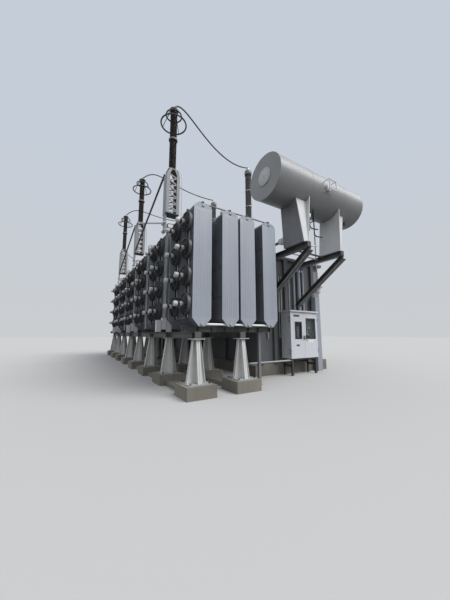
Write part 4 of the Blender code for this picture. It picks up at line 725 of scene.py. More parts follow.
def build_terminal_boxes():
    """Three small boxes on a back plate, the middle one a little higher."""
    low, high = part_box("terminal_boxes_1")
    wide, tall, spacing, lift = 0.15, 0.35, 0.165, 0.07
    build = Build()
    plate = (low.x + 0.01, high.y - 0.015, low.z + lift)
    build.box(plate, (high.x - 0.01, high.y, high.z - lift), GALVANISED)
    for number, shift in enumerate((0, lift, 0)):
        left, bottom = low.x + number * spacing, low.z + shift
        right, top = left + wide, bottom + tall
        build.box((left, low.y + 0.012, bottom), (right, high.y - 0.008, top), WHITE)
        build.box((left + 0.004, low.y, bottom + 0.004), (right - 0.004, low.y + 0.014, top - 0.004), WHITE)
        build.bolts((left + 0.018, right - 0.018), (low.y,), (bottom + 0.03, top - 0.03), FRONT, 0.006, METAL)
        for x in (left + 0.045, left + 0.105):
            build.disc((x, (low.y + high.y) / 2, bottom - 0.03), UP, 0.016, 0.03, 10, BLACK)
    repeated(build, "terminal_box_group", "terminal_boxes", ARRESTERS, ARRESTER_PITCH,
             bevel=0.004)


# Surge arresters, their brackets and braces


def build_brackets():
    """Two channels with zigzag lacing, drawn in at the top, and a foot plate clamped to the post."""
    low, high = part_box("arrester_bracket_1")
    y = (low.y + high.y) / 2
    half_x, half_y, deep, thick, neck = 0.225, 0.17, 0.105, 0.010, 0.14
    bottom, top = low.z + 0.65, high.z
    shoulder, start, end = top - 0.20, bottom + 0.02, top - 0.02
    build = Build()
    # The base plate under the channels is dark steel, painted shade for its underside.
    build.slab((POST_X, y), (half_x, half_y), bottom, bottom + 0.025, DARK)
    build.slab((POST_X, y), (neck + 0.03, half_y), top - 0.025, top, BEAM_PALE)
    for side in (-1, 1):
        edge, drawn = POST_X + side * half_x, POST_X + side * neck
        inner, drawn_inner = edge - side * deep, POST_X + side * 0.04
        flange = [(edge, start), (inner, start), (inner, shoulder), (drawn_inner, end), (drawn, end),
                  (edge, shoulder)]
        inward = side * thick
        web = [(edge, start), (edge, shoulder), (drawn, end), (drawn - inward, end),
               (edge - inward, shoulder), (edge - inward, start)]
        for outline, front, back in ((flange, -half_y, thick - half_y), (flange, half_y, half_y - thick),
                                     (web, thick - half_y, half_y - thick)):
            build.loft([[(a, y + place, b) for a, b in outline] for place in (front, back)], BEAM_PALE)
    build_lacing(build, y, bottom + 0.03, shoulder, half_x - deep + 0.02, half_y - 0.014)
    build.box((low.x, y - 0.10, low.z), (low.x + 0.025, y + 0.10, bottom + 0.01), BEAM_PALE)
    for dy in (-0.09, 0.08):
        build.box((low.x + 0.02, y + dy, low.z + 0.02), (low.x + 0.055, y + dy + 0.01, bottom), BEAM_PALE)
    for clamp in (low.z + 0.05, low.z + 0.30):
        bolt_z = clamp + 0.03
        build.box((low.x - 0.02, y - 0.135, clamp), (low.x, y + 0.135, clamp + 0.06), BEAM_PALE)
        for bolt_y in (y - 0.12, y + 0.12):
            build.rod((low.x - 0.045, bolt_y, bolt_z), (POST_X + 0.13, bolt_y, bolt_z), 0.009, 8, METAL)
            build.bolt((low.x - 0.02, bolt_y, bolt_z), LEFT, 0.016, METAL)
        build.box((POST_X + 0.10, y - 0.135, clamp), (POST_X + 0.12, y + 0.135, clamp + 0.06), BEAM_PALE)
    wire_x, wire_y = POST_X + half_x + 0.06, y - half_y - 0.03
    build.tube([(POST_X + neck, y - half_y - 0.01, top - 0.04), (wire_x - 0.01, wire_y, top - 0.12),
                (wire_x, wire_y, top - 0.30), (wire_x, wire_y, bottom - 0.10),
                (POST_X + 0.11, y - 0.08, bottom - 0.32)], 0.009, 8, METAL)
    repeated(build, "bracket", "arrester_bracket", ARRESTERS, ARRESTER_PITCH, 30, 0.002)


def build_lacing(build, y, low, high, half_x, half_y):
    """Zigzag flats on the two open faces."""
    steps, thin, wide = 12, 0.004, 0.022
    flat = [(-thin, -wide), (thin, -wide), (thin, wide), (-thin, wide)]
    for level in (y - half_y, y + half_y):
        for k in range(steps):
            reach = half_x if k % 2 else -half_x
            start = (POST_X + reach, level, low + (high - low) * k / steps)
            end = (POST_X - reach, level, low + (high - low) * (k + 1) / steps)
            build.prism(flat, start, end, BACK, BEAM_PALE)


def shed_column(build, x, y, top, bottom, core, shed, pitch, finish, sides=28):
    """An insulator with thin sloping sheds, alternately wide and narrow."""
    count = max(2, round((top - bottom) / pitch))
    step = (top - bottom) / count
    profile = [(core, top)]
    for k in range(count):
        z = top - k * step
        reach = shed if k % 2 == 0 else shed - (shed - core) * 0.3
        for radius, share in ((core, 0.25), (reach, 0.52), (reach, 0.60), (core, 0.72)):
            profile.append((radius, z - step * share))
    profile.append((core, bottom))
    build.lathe(profile, sides, (x, y, 0), UP, finish)


def build_arresters():
    """Two insulator units between flanges, with a stud on top and grading rings on four stays."""
    low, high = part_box("surge_arrester_1")
    x, y = POST_X, (low.y + high.y) / 2
    build = Build()
    stud, flange, unit = 0.09, 0.055, 1.10
    top = level = high.z - stud
    build.rod((x, y, top), (x, y, high.z), 0.022, 16, METAL)
    build.slab((x, y), (0.05, 0.035), top + 0.03, top + 0.065, METAL)
    disc = [(0.145, 0), (0.152, 0.006), (0.152, flange - 0.006), (0.145, flange)]
    seal = [(0.120, -0.014), (0.135, 0), (0.120, 0.014)]
    for number in range(3):
        build.lathe(disc, 28, (x, y, level - flange), UP, POST if number == 1 else DARK)
        build.bolt_circle((x, y, level), UP, 0.135, 8, 0.010, METAL)
        if number == 1:
            for z in (level + 0.02, level - flange - 0.02):
                build.lathe(seal, 28, (x, y, z), UP, BLACK)
        level -= flange
        if number < 2:
            shed_column(build, x, y, level, level - unit, 0.088, 0.122, 0.042, BROWN)
            level -= unit
    large, small = Vector((x, y, top - 0.56)), Vector((x, y, top - 0.225))
    build.ring(large, UP, 0.43, 0.026, 48, 10, CABLE)
    build.ring(small, UP, 0.265, 0.024, 40, 10, CABLE)
    for away in circle(RIGHT, BACK, 4, math.radians(45)):
        build.tube([Vector((x, y, top - 0.03)) + away * 0.12, small + away * 0.262, large + away * 0.428],
                   0.012, 8, CABLE)
    repeated(build, "arrester", "surge_arrester", ARRESTERS, ARRESTER_PITCH)


def build_braces():
    """A dark strut down and a pale one up between two brackets, with cleats at their ends."""
    low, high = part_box("cross_brace_1")
    x = (low.x + high.x) / 2
    upper, lower, far = high.z - 0.05, 5.45, high.y
    near, foot, foot_z = HEADER_Y + 0.17 + SEAT_GAP, HEADER_Y + POST_HALF + SEAT_GAP, low.z + 0.05
    build = Build()
    # The two struts are the same bracing: the down strut is dark steel as painted shade, the up strut pale
    # galvanised as painted light on its lit side.
    build.rod((x - 0.02, near, upper), (x - 0.02, far, lower), 0.034, 14, DARK)
    build.rod((x + 0.02, foot, foot_z), (x + 0.02, far, upper), 0.030, 14, GALVANISED)
    cleat = 0.12
    for front, z in ((near, upper), (foot, foot_z), (far - cleat, upper), (far - cleat, lower)):
        build.box((x - 0.03, front, z - 0.05), (x - 0.018, front + cleat, z + 0.05), GALVANISED)
    repeated(build, "brace_pair", "cross_brace", 2, ARRESTER_PITCH)


# Bushings and jumpers


def build_bushings():
    """Turret, flanges, four insulator sections with joints, and a domed cap with its terminal."""
    low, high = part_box("high_voltage_bushing_1")
    x, y, _ = middle("high_voltage_bushing_1")
    foot, turret_top = low.z, low.z + 1.28
    build = Build()
    build.disc((x, y, foot), UP, 0.42, 1.26, 48, COVER)
    build.disc((x, y, foot), UP, 0.47, 0.03, 48, COVER)
    build.bolt_circle((x, y, foot + 0.03), UP, 0.445, 24, 0.014, METAL)
    build.lathe([(0.49, 0.0), (0.50, 0.005), (0.50, 0.045), (0.49, 0.05)], 48, (x, y, turret_top), UP, COVER)
    build.disc((x, y, turret_top - 0.04), UP, 0.49, 0.038, 48, COVER)
    seat = (x, y, turret_top + 0.05)
    build.bolt_circle(seat, UP, 0.46, 20, 0.016, METAL)
    build.lathe([(0.30, 0.0), (0.27, 0.10), (0.19, 0.16), (0.17, 0.26)], 40, seat, UP, METAL)
    cap_top = high.z - 0.12
    cap_foot, bottom = cap_top - 0.34, turret_top + 0.31
    spans, half_joint = 4, 0.02
    step = (cap_foot - bottom) / spans
    joint = [(0.155, -half_joint), (0.165, 0), (0.155, half_joint)]
    for k in range(spans):
        top = cap_foot - k * step
        first = top - (half_joint if k else 0)
        shed_column(build, x, y, first, top - step + half_joint, 0.120, 0.152, 0.045, GREY_GLAZE)
        if k:
            build.lathe(joint, 32, (x, y, top), UP, METAL)
    seal = [(0.150, 0.01), (0.172, 0.02), (0.172, 0.04), (0.150, 0.06)]
    build.lathe(seal, 32, (x, y, cap_foot), UP, BLACK)
    cap = [(0.168, 0.05), (0.182, 0.08), (0.185, 0.20), (0.165, 0.27), (0.12, 0.315), (0.06, 0.34)]
    build.lathe(cap, 36, (x, y, cap_foot), UP, GREY_GLAZE)
    build.rod((x, y, cap_top - 0.02), (x, y, high.z - 0.03), 0.026, 16, METAL)
    build.slab((x, y), (0.045, 0.028), high.z - 0.075, high.z - 0.01, METAL)
    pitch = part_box("high_voltage_bushing_2")[0].y - low.y
    repeated(build, "high_bushing", "high_voltage_bushing", 3, pitch)


def build_neutral():
    low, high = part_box("neutral_bushing")
    x, y, _ = middle("neutral_bushing")
    foot, turret, crown = (x, y, low.z), (x, y, low.z + 1.50), (x, y, high.z - 0.12)
    build = Build()
    build.lathe([(0.17, 0.0), (0.17, 1.46), (0.20, 1.465), (0.20, 1.50)], 32, foot, UP, COVER)
    build.disc(foot, UP, 0.20, 0.025, 32, COVER)
    build.bolt_circle(turret, UP, 0.175, 10, 0.012, METAL)
    build.lathe([(0.12, 0), (0.09, 0.08)], 24, turret, UP, METAL)
    shed_column(build, x, y, crown[2] - 0.12, turret[2] + 0.08, 0.062, 0.088, 0.04, GREY_GLAZE, 24)
    build.lathe([(0.095, -0.12), (0.108, -0.10), (0.108, -0.02), (0.08, 0.0)], 24, crown, UP, METAL)
    build.rod(crown, (x, y, high.z), 0.03, 14, METAL)
    placed(build.object("neutral_insulator"), ["neutral_bushing"])


def top_middle(node):
    x, y, _ = middle(node)
    return Vector((x, y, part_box(node)[1].z))


def build_jumpers():
    """Stiff conductors that rise from the arresters, arch over and run down to the bushings."""
    near_bend, far_bend = (0.10, 0.95, 0.40, -1.31), (0.20, 1.10, 0.30, -0.25)
    steps = 40
    for number, bend in enumerate((near_bend, far_bend, far_bend), start=1):
        start, end = top_middle(f"surge_arrester_{number}"), top_middle(f"high_voltage_bushing_{number}")
        first = start + (end - start) * bend[0] + UP * bend[1]
        second = start + (end - start) * bend[2] + UP * bend[3]
        route = [curve_point(start, first, second, end, k / steps) for k in range(steps + 1)]
        build = Build()
        build.tube(route, 0.026, 12, CABLE)
        placed(build.object(f"jumper_line_{number}"), [f"jumper_{number}"])


def curve_point(start, first, second, end, share):
    """A place along a cubic curve."""
    rest = 1 - share
    near, far = start * rest + first * 3 * share, second * 3 * rest + end * share
    return near * rest ** 2 + far * share ** 2


# Conservator and what hangs on it


def build_conservator():
    """A drum with a flat manhole end, a dished far end, two hoops and its fittings."""
    _, y, z = DRUM_CENTRE
    radius, left = DRUM_RADIUS, DRUM_LOW.x + 0.035
    rim, bead = radius * 0.992, radius * 0.996
    length = DRUM_HIGH.x - left
    end, hatch = (left, y, z), (left + 0.012, y, z)
    build = Build()
    # The flat end and the hatch lid take the lightened drum paint, painted light.
    plate_end = [(0.02, 0.012), (radius * 0.99, 0.012), (rim, 0.0), (radius - 0.002, -0.001)]
    build.lathe(plate_end, 96, end, RIGHT, DRUM_END_PAINTED_LIGHT, capped=False)
    dish = [(rim * math.cos(turn), length - 0.16 + 0.16 * math.sin(turn))
            for turn in (k * math.pi / 20 for k in range(10))]
    shell = [(radius - 0.003, 0.0), (radius, 0.0), (radius, 0.03), (rim, 0.034), (rim, length - 0.19),
             (bead, length - 0.185), (bead, length - 0.165), *dish, (0.02, length)]
    build.lathe(shell, 96, end, RIGHT, DRUM)
    # The rim behind the hatch lid is half-darkened radiator paint, painted shade round the lid.
    build.lathe([(0.30, 0.0), (0.30, -0.012), (0.288, -0.014)], 48, hatch, RIGHT, RADIATOR_PAINTED_HALF_SHADE)
    lid = [(0.285, -0.0145), (0.29, -0.016), (0.29, -0.034), (0.27, -0.042)]
    build.lathe(lid, 48, hatch, RIGHT, DRUM_END_PAINTED_LIGHT)
    build.bolt_circle((left - 0.030, y, z), LEFT, 0.255, 20, 0.010, METAL)
    build.rod((left - 0.030, y - 0.035, z), (left - 0.030, y + 0.035, z), 0.010, 8, METAL)
    lug, lug_z = [(-0.09, -0.02), (0.09, -0.02), (0.05, 0.07), (-0.05, 0.07)], DRUM_HIGH.z - 0.005
    for x in (-1.9, 1.5):
        build.prism(lug, (x - 0.012, y, lug_z), (x + 0.012, y, lug_z), BACK, DRUM)
    for x in (-0.35, 0.15):
        build.lathe([(0.07, -0.02), (0.07, 0.03), (0.05, 0.04)], 20, (x, y, DRUM_HIGH.z), UP, DRUM)
    for x in (-0.9, 0.85):
        build.ring((x, y, z), RIGHT, rim, 0.004, 96, 4, DRUM)
    outlet = (1.50, y - 0.2, DRUM_LOW.z + 0.03)
    build.lathe([(0.05, 0), (0.05, 0.05), (0.085, 0.055), (0.085, 0.085)], 20, outlet, -UP, DARK)
    placed(build.object("oil_drum", 50), ["conservator"])


def drum_offset(distance, radius=DRUM_RADIUS):
    """How far the drum's skin is from its centre line, this far to the side of it."""
    return math.sqrt(max(radius ** 2 - distance ** 2, 0))


def saddle_plate(build, foot_ends, top_ends, thickness, finish):
    """A plate from a line on the beam up to the drum's underside, whose ends may lean."""
    loops, steps = [], 16
    for share in (k / steps for k in range(steps + 1)):
        foot = foot_ends[0].lerp(foot_ends[1], share)
        top = top_ends[0].lerp(top_ends[1], share)
        top.z = DRUM_CENTRE.z - drum_offset(top.y - DRUM_CENTRE.y, DRUM_RADIUS + 0.001)
        loops.append([foot - thickness, foot + thickness, top + thickness, top - thickness])
    build.loft(loops, finish)


def build_saddles():
    """Side plates that lean out as they rise, and a cross plate between them."""
    y, half = DRUM_CENTRE.y, 0.013
    front_foot, cross_foot, back_foot = y - 0.77, y - 0.75, y + 0.08
    front_top, cross_top, back_top = y - 0.57, y - 0.41, y + 0.27
    shapes = (((-0.14, -0.03), (0.06, 0.45), True), ((0.0, 0.40), (0.06, 0.83), False))
    for number, (x, (left, right, deep_right)) in enumerate(zip(SUPPORT_XS, shapes), start=1):
        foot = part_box(f"conservator_saddle_{number}")[0].z
        build = Build()
        for (foot_x, top_x), deep in ((left, not deep_right), (right, deep_right)):
            near_foot, near_top = (front_foot, front_top) if deep else (cross_foot, cross_top)
            feet = [Vector((x + foot_x, place, foot)) for place in (near_foot, back_foot)]
            tops = [Vector((x + top_x, place, 0)) for place in (near_top, back_top)]
            # The deep side plate and the cross plate take the pale saddle paint; the shallow side plate takes
            # the dark post steel as painted shade.
            saddle_plate(build, feet, tops, RIGHT * half, SADDLE if deep else POST)
        feet, tops = [[Vector((x + side[end], place, z)) for side in (left, right)]
                      for end, place, z in ((0, cross_foot, foot), (1, cross_top, 0))]
        saddle_plate(build, feet, tops, BACK * half, SADDLE)
        base = foot + 0.025
        build.box((x - 0.08, front_foot, foot), (x + 0.08, back_foot, base), DRUM)
        build.bolts((x - 0.05, x + 0.05), (front_foot + 0.12, back_foot - 0.12), (base,), UP, 0.016, METAL)
        placed(build.object(f"saddle_{number}", 30), [f"conservator_saddle_{number}"])


def build_support_brackets():
    """A level beam out from the tank's end wall, and a strut under it from a wall pad."""
    depth, drop, strut_depth, pad = 0.18, 1.45, 0.15, 0.30
    pale = [(-0.024, -0.001), (0.024, -0.001), (0.024, 0.003), (-0.024, 0.003)]
    for number, x in enumerate(SUPPORT_XS, start=1):
        low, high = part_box(f"conservator_bracket_{number}")
        wall, outer, top = high.y, low.y, high.z
        under = top - depth
        build = Build()
        build.beam((x, wall, top), (x, outer, top), UP, 0.16, depth, 0.014, 0.018, BEAM)
        build.box((x - 0.08, outer, under), (x + 0.08, outer + 0.014, top), BEAM)
        strip = (x - 0.078, outer + 0.016, under - 0.001)
        build.box(strip, (x + 0.078, wall - 0.032, under + 0.005), BEAM_PALE)
        run = Vector((0, wall - outer - 0.03, -drop)).normalized()
        across = Vector((0, -run.z, run.y))
        start = Vector((x, outer + 0.03, under + 0.01))
        length = (wall - outer - 0.04) / run.y
        build.beam(start, start + run * length, across, 0.20, strut_depth, 0.014, 0.016, BEAM)
        for side in (-0.075, 0.075):
            edge = start + RIGHT * side - across * (strut_depth + 0.001)
            build.prism(pale, edge + run * 0.15, edge + run * (length - 0.15), RIGHT, BEAM_PALE)
        for z in (top - pad, low.z):
            build.box((x - 0.12, wall - 0.03, z), (x + 0.12, wall, z + pad), BEAM)
            build.bolts((x - 0.09, x + 0.09), (wall - 0.03,), (z + 0.05, z + 0.25), FRONT, 0.014, METAL)
        node = f"conservator_bracket_{number}"
        placed(build.object(f"support_bracket_{number}", 30, 0.003), [node])


def build_guard():
    """A cage of small angles on the drum's front, round a gauge."""
    half = 0.014
    low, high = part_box("gauge_guard")
    edge = Vector((0.015, 0.015, 0.015))
    left, front, bottom = low + edge
    right, _, top = high - edge
    angle = [(-half, -half), (half, -half), (half, -0.009), (-0.009, -0.009), (-0.009, half), (-half, half)]
    build = Build()
    for z in (bottom, top):
        build.prism(angle, (left - half, front, z), (right + half, front, z), BACK, WHITE)
        back = DRUM_CENTRE.y - drum_offset(z - DRUM_CENTRE.z)
        for x in (left, right):
            build.prism(angle, (x, front, z), (x, back, z), RIGHT, WHITE)
    for x in (left, right):
        build.prism(angle, (x, front, bottom), (x, front, top), RIGHT, WHITE)
    z = (bottom + top) / 2
    gauge = ((left + right) / 2, DRUM_CENTRE.y - drum_offset(z - DRUM_CENTRE.z) + 0.01, z)
    build.lathe([(0.11, 0), (0.12, 0.02), (0.12, 0.07), (0.105, 0.08)], 32, gauge, FRONT, WHITE)
    build.lathe([(0.10, 0.081), (0.10, 0.083)], 32, gauge, FRONT, DIAL)
    placed(build.object("guard_cage", 30), ["gauge_guard"])


def build_pipe():
    """The oil pipe through the gas relay, and small pipes under the drum and between its beams."""
    x, y, under = -0.55, DRUM_CENTRE.y, DRUM_LOW.z
    level, back, foot = 5.05, -5.30, COVER_TOP + 0.002
    vent_x, vent_y, drain_x, drain_y = 0.05, -7.20, -0.25, -7.6
    build = Build()
    route = [(y, under + 0.01), (y, level + 0.12), (y + 0.03, level + 0.04), (y + 0.12, level),
             (back - 0.12, level), (back - 0.03, level - 0.04), (back, level - 0.12), (back, foot)]
    build.tube([(x, *place) for place in route], 0.052, 18, DARK)
    build.flange((x, back, foot), UP, 0.10, 0.025, 6, DARK, METAL)
    for z in (5.35, 5.42):
        build.disc((x, y, z), UP, 0.09, 0.02, 24, DARK)
    relay, half_x, half_y = (y + back) / 2, 0.10, 0.13
    build.slab((x, relay), (half_x, half_y), level - half_x, level + half_x, METAL)
    for shift in (-0.17, 0.15):
        build.disc((x, relay + shift, level), BACK, 0.09, 0.025, 24, DARK)
    build.disc((x - half_x, relay, level), LEFT, 0.05, 0.02, 20, DIAL)
    build.tube([(vent_x, vent_y, under + 0.05), (vent_x, vent_y, 5.35), (vent_x, vent_y + 0.15, 5.25),
                (-0.49, -7.0, 5.08)], 0.022, 10, DARK)
    build.tube([(drain_x, drain_y, under + 0.03), (drain_x, drain_y, 5.45), (-0.49, -7.47, 5.35)],
               0.022, 10, DARK)
    hose_y = -7.75
    for hose, drop in ((-0.62, 0.62), (-0.40, 0.86)):
        end = under - drop
        build.tube([(hose, hose_y, under + 0.04), (hose, hose_y, end), (hose + 0.10, hose_y, end - 0.06),
                    (hose + 0.42, hose_y, end - 0.02)], 0.020, 10, BLACK)
    build.lathe([(0.05, 0), (0.05, 0.12), (0.035, 0.14)], 16, (-0.62, hose_y, under - 0.30), UP, METAL)
    left, right, front, rear, z, branch = -1.30, 0.22, -7.60, -7.35, 4.20, -0.45
    build.tube([(left, front, z), (right, front, z)], 0.032, 12, DARK)
    build.tube([(left, rear, z - 0.02), (right, rear, z - 0.02)], 0.026, 12, METAL)
    build.tube([(branch, front, z), (branch, front, z + 0.30), (-0.10, front, z + 0.36)], 0.020, 10, METAL)
    placed(build.object("oil_pipe"), ["conservator_pipe"])


def build_breather():
    """A domed hood over a canister, on a thin pipe."""
    x, y, _ = middle("breather")
    pipe_top, top, hood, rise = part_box("breather")[1].z - 0.02, 3.46, 0.20, 0.17
    build = Build()
    dome = [(hood * math.sin(turn), top - rise + rise * math.cos(turn))
            for turn in (k * math.pi / 20 for k in range(1, 11))]
    build.lathe(dome + [(hood, top - 0.20), (hood - 0.01, top - 0.20)], 40, (x, y, 0), UP, WHITE)
    canister = [(0.115, top - 0.19), (0.115, top - 0.40), (0.09, top - 0.42), (0.09, top - 0.44)]
    build.lathe(canister, 32, (x, y, 0), UP, WHITE)
    build.rod((x, y, top - 0.02), (x, y, pipe_top), 0.021, 12, GALVANISED)
    build.disc((x, y, top), UP, 0.04, 0.05, 16, METAL)
    placed(build.object("breather_hood"), ["breather"])


def build_riser():
    """An upright duct with bolted bands."""
    low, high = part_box("cable_riser")
    proud = 0.004
    build = Build()
    build.box(low, high, RADIATOR)
    bands = (0.5, 1.4, 2.3, 2.88)
    for z in bands:
        build.box((low.x - proud, low.y - proud, z), (high.x + proud, high.y, z + 0.035), RADIATOR)
        for x in (low.x + 0.03, high.x - 0.03):
            build.bolt((x, low.y - proud, z + 0.017), FRONT, 0.008, METAL)
    placed(build.object("riser_duct", 30, 0.004), ["cable_riser"])


# Control cabinet


def build_cabinet():
    """A hollow case with a sloping roof, four legs and the fixed hinge knuckles."""
    wall, lip, eaves = 0.02, 0.05, CASE_TOP - 0.008
    inner_left, inner_right, inner_back = CASE_LEFT + wall, CASE_RIGHT - wall, CASE_BACK - wall
    build = Build()
    for left, right, front, back, bottom, top in (
            (CASE_LEFT, inner_left, CASE_FRONT, CASE_BACK, CASE_BOTTOM, CASE_TOP),
            (inner_right, CASE_RIGHT, CASE_FRONT, CASE_BACK, CASE_BOTTOM, CASE_TOP),
            (inner_left, inner_right, inner_back, CASE_BACK, CASE_BOTTOM, CASE_TOP),
            (inner_left, inner_right, CASE_FRONT, inner_back, CASE_BOTTOM, CASE_BOTTOM + wall),
            (inner_left, inner_right, CASE_FRONT, inner_back, CASE_TOP - wall, CASE_TOP)):
        build.box((left, front, bottom), (right, back, top), WHITE)
    drip = -6.85
    roof = [(drip, CASE_TOP + 0.045), (drip, eaves), (CASE_FRONT - 0.001, eaves), (CASE_BACK, eaves),
            (CASE_BACK, CASE_TOP + 0.058)]
    build.loft([[(x, a, b) for a, b in roof] for x in (CASE_LEFT - lip, CASE_RIGHT + lip)], WHITE)
    leg, foot = 0.07, 0.02
    for x in (CASE_LEFT + 0.06, CASE_RIGHT - 0.13):
        for y in (CASE_FRONT, CASE_BACK - leg):
            build.box((x, y, foot), (x + leg, y + leg, CASE_BOTTOM), DARK)
            build.box((x - 0.02, y, 0), (x + 0.09, y + leg, foot), DARK)
        build.box((x, CASE_FRONT + 0.04, 0.30), (x + 0.063, CASE_BACK - 0.04, 0.38), DARK)
    build.box((CASE_LEFT + 0.06, CASE_FRONT + 0.01, CASE_BOTTOM - 0.06),
              (CASE_RIGHT - 0.06, CASE_FRONT + 0.05, CASE_BOTTOM), DARK)
    strap_back, knuckle = -6.709, 0.04
    for side, x in HINGE_XS.items():
        outer, inner = x + side * HINGE_PIN, x - side * 0.016
        for z in HINGE_HEIGHTS:
            for start in (z - HINGE_HALF - knuckle - SEAT_GAP, z + HINGE_HALF + SEAT_GAP):
                build.rod((x, DOOR_FRONT, start), (x, DOOR_FRONT, start + knuckle), HINGE_PIN, 14, METAL)
                for front, ends in ((DOOR_FRONT, (x, outer)), (CASE_FRONT, (outer, inner))):
                    build.box((min(ends), front, start), (max(ends), strap_back, start + knuckle), METAL)
    louvre_front, louvre_back = -6.62, -6.46
    for z in (0.9, 1.0, 1.1):
        build.box((CASE_LEFT - 0.004, louvre_front, z), (CASE_LEFT, louvre_back, z + 0.03), WHITE)
    placed(build.object("cabinet_case", 30, 0.003), ["control_cabinet"])


def build_instruments():
    """A painted panel with dials behind the right window and a bar and relays behind the left."""
    low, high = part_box("instrument_panel")
    sight = 0.13
    left, right = middle("left_window").x + sight, middle("right_window").x + sight
    z = middle("right_window").z
    face, back = low.y, low.y + 0.002
    build = Build()
    build.box((low.x, back, low.z), (high.x, face + 0.02, high.z), GREEN)
    for x in (low.x, high.x - 0.04):
        build.box((x, face + 0.02, low.z + 0.03), (x + 0.04, high.y, high.z - 0.03), GALVANISED)
    for start, end, front, bottom, top, finish in (
            (left - 0.20, left + 0.20, face - 0.004, z - 0.50, z + 0.30, BLACK),
            (left - 0.03, left + 0.03, face - 0.05, z - 0.36, z + 0.10, PLACARD),
            (left - 0.12, left - 0.09, face - 0.03, z - 0.40, z + 0.14, DARK),
            (left + 0.09, left + 0.12, face - 0.03, z - 0.40, z + 0.14, DARK),
            (right - 0.13, right + 0.01, face - 0.03, z - 0.36, z - 0.26, DARK)):
        build.box((start, front, bottom), (end, back, top), finish)
    thin, slim = 0.002, 0.001
    needle = [(-thin, -slim), (thin, -slim), (thin, slim), (-thin, slim)]
    for dx, dz, radius in ((-0.02, 0.03, 0.060), (0.03, -0.13, 0.050), (-0.15, 0.02, 0.035),
                           (-0.15, -0.10, 0.030)):
        dial = Vector((right + dx, face - 0.028, z + dz))
        build.lathe([(radius + 0.014, -0.03), (radius + 0.014, 0), (radius, 0.002)], 32, dial, FRONT, DARK)
        build.lathe([(radius * 0.8, 0.0021), (radius * 0.78, 0.0025)], 32, dial, FRONT, DIAL)
        pivot = dial + FRONT * 0.0035
        build.prism(needle, pivot, pivot + Vector((-radius * 0.4, 0, radius * 0.5)), BACK, BLACK)
    for x in (right - 0.10 + k * 0.07 for k in range(4)):
        build.rod((x, back, z - 0.42), (x, face - 0.02, z - 0.42), 0.014, 12, DARK)
    placed(build.object("instruments", 30), ["instrument_panel"])


def build_door(side):
    """A door leaf with its sealed window, handle, blank plates and hinge knuckles."""
    name = "left_door" if side < 0 else "right_door"
    glass = name.replace("door", "window")
    left, right = (CASE_LEFT, -0.006) if side < 0 else (0.0, CASE_RIGHT)
    front, bottom = DOOR_FRONT, CASE_BOTTOM
    pane_low, pane_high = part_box(glass)
    pane = (pane_low.x, pane_high.x, pane_low.z, pane_high.z)
    rebate, seal_out, seal_in = 0.0117, 0.0123, 0.0397
    window = drawn_in(pane, rebate)
    sill = window[2]
    build = Build()
    frame_with_hole(build, (left, right, bottom, DOOR_TOP), window, front, DOOR_BACK, WHITE)
    seal = drawn_in(pane, -seal_out), drawn_in(pane, seal_in)
    frame_with_hole(build, *seal, front - 0.006, front - 0.001, BLACK)
    x = -0.003 + side * 0.055
    pivot = bottom + 0.78
    build.box((x - 0.02, front - 0.008, pivot - 0.13), (x + 0.02, front, pivot + 0.03), DARK)
    build.tube([(x, front - 0.008, pivot), (x, front - 0.03, pivot),
                (x, front - 0.033, pivot - 0.08), (x, front - 0.033, pivot - 0.11)], 0.010, 10, DARK)
    if side < 0:
        grille_left, grille_right, grille_foot, border = -0.56, -0.26, 2.08, 0.01
        build.box((grille_left, front - 0.004, grille_foot), (grille_right, front, grille_foot + 0.07), BEAM)
        for z in (grille_foot + 0.008 + k * 0.015 for k in range(4)):
            build.box((grille_left + border, front - 0.010, z),
                      (grille_right - border, front - 0.004, z + 0.008), BEAM)
        build.box((-0.46, front - 0.006, 1.02), (-0.30, front, 1.08), DARK)
    else:
        build.box((0.18, front - 0.003, sill - 0.16), (0.46, front, sill - 0.05), PLACARD)
        build.disc((0.12, front, sill - 0.09), FRONT, 0.018, 0.006, 16, DARK)
    axis, leaf = HINGE_XS[side], 0.032
    near, far = sorted((axis, axis - side * leaf))
    for z in HINGE_HEIGHTS:
        build.rod((axis, front, z - HINGE_HALF), (axis, front, z + HINGE_HALF), HINGE_PIN, 14, METAL)
        build.box((near, front, z - HINGE_HALF), (far, front + 0.006, z + HINGE_HALF), METAL)
    body = f"{name}_leaf"
    placed(build.object(f"{name}_panel", 30, 0.002), [name], body)
    pane = Build()
    pane.box(pane_low, pane_high, PANE)
    placed(pane.object(f"{glass}_pane", 0), [glass], body)


def drawn_in(opening, by):
    """An opening's left, right, bottom and top, each moved inward."""
    left, right, bottom, top = opening
    return left + by, right - by, bottom + by, top - by


def frame_with_hole(build, outer, inner, front, back, finish):
    """A plate with a square opening, as four bars."""
    left, right, bottom, top = outer
    hole_left, hole_right, hole_bottom, hole_top = inner
    for bar_left, bar_right, bar_bottom, bar_top in (
            (left, hole_left, bottom, top), (hole_right, right, bottom, top),
            (hole_left, hole_right, bottom, hole_bottom), (hole_left, hole_right, hole_top, top)):
        build.box((bar_left, front, bar_bottom), (bar_right, back, bar_top), finish)


# Light, floor and camera


def seen_directly(tree):
    """One for what the camera, a mirror or a pane looks at, nought for light that spreads."""
    path = tree.nodes.new("ShaderNodeLightPath")
    last = path.outputs["Is Camera Ray"]
    for ray in ("Is Glossy Ray", "Is Transmission Ray"):
        larger = tree.nodes.new("ShaderNodeMath")
        larger.operation = "MAXIMUM"
        last = feed(tree, larger, {0: last, 1: path.outputs[ray]}).outputs[0]
    return last


def either_colour(tree, lighting, shown):
    """One colour as a source of light, another to look at."""
    mixed = tree.nodes.new("ShaderNodeMix")
    mixed.data_type = "RGBA"
    return feed(tree, mixed, {"Factor": seen_directly(tree), "A": lighting, "B": shown}).outputs["Result"]


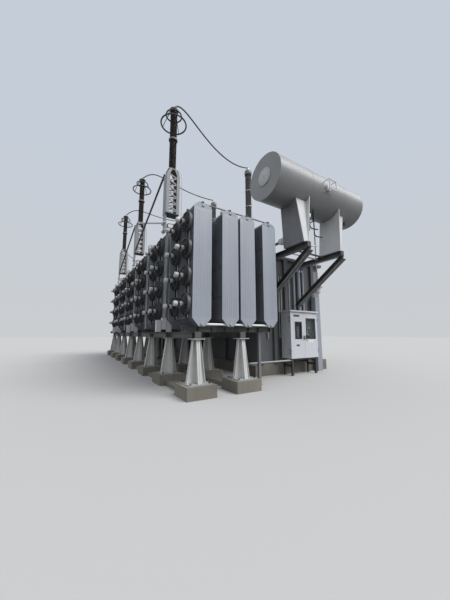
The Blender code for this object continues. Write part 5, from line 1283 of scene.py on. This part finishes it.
def build_world():
    world = bpy.data.worlds.new("studio")
    bpy.context.scene.world = world
    world.use_nodes = True
    tree = world.node_tree
    place = tree.nodes.new("ShaderNodeTexCoord").outputs["Generated"]
    height = new_node(tree, "ShaderNodeSeparateXYZ", {"Vector": place}).outputs["Z"]
    lighting = ramp(tree, height, ((0.0, (0.34, 0.34, 0.34)), (0.7, (0.84, 0.88, 0.95))))
    shown = ramp(tree, height, ((0.0, (0.66, 0.68, 0.70)), (0.6, (0.62, 0.68, 0.77))))
    feed(tree, tree.nodes["Background"], {"Color": either_colour(tree, lighting, shown), "Strength": 0.9})


def floor_finish():
    """Pale to look at, and duller as a source of light from below."""
    finish, tree = new_finish("pale_floor")
    colour = either_colour(tree, (0.16, 0.155, 0.145, 1.0), (0.46, 0.455, 0.445, 1.0))
    feed(tree, tree.nodes["Principled BSDF"], {"Base Color": colour, "Roughness": 0.9})
    return finish


def build_stage():
    build_world()
    reach = 120.0
    mesh = bpy.data.meshes.new("floor")
    corners = [(-reach, -reach, 0), (reach, -reach, 0), (reach, reach, 0), (-reach, reach, 0)]
    mesh.from_pydata(corners, [], [(0, 1, 2, 3)])
    mesh.materials.append(floor_finish())
    floor = bpy.data.objects.new("floor", mesh)
    bpy.context.scene.collection.objects.link(floor)

    lights = (("sky_light", (38, 0, 35), 2.5, 40), ("fill_light", (62, 0, -60), 0.25, 60))
    for name, angles, strength, width in lights:
        data = bpy.data.lights.new(name, "SUN")
        data.energy = strength
        data.angle = math.radians(width)
        light = bpy.data.objects.new(name, data)
        light.rotation_euler = [math.radians(angle) for angle in angles]
        bpy.context.scene.collection.objects.link(light)

    data = bpy.data.cameras.new("camera")
    data.sensor_width = 36.0
    data.lens = 14.64
    data.clip_end = 500.0
    camera = bpy.data.objects.new("camera", data)
    camera.location = (-7.30, -13.0, 1.45)
    camera.rotation_euler = (math.radians(97.94), 0.0, math.radians(-31.7))
    bpy.context.scene.collection.objects.link(camera)
    bpy.context.scene.camera = camera
    bpy.context.scene.view_settings.view_transform = "Standard"


bevelled_node("tank_plinth", CONCRETE, 0.02)
bevelled_node("outer_piers", CONCRETE, 0.015)
bevelled_node("inner_piers", CONCRETE, 0.015)
build_tank()
build_cover()
build_pedestals("outer")
build_pedestals("inner")
build_front_frame()
build_header_frames()
build_radiators()
build_fans()
build_terminal_boxes()
build_brackets()
build_arresters()
build_braces()
build_bushings()
build_neutral()
build_jumpers()
build_conservator()
build_saddles()
build_support_brackets()
build_guard()
build_pipe()
build_breather()
build_riser()
build_cabinet()
build_instruments()
build_door(-1)
build_door(1)
build_stage()
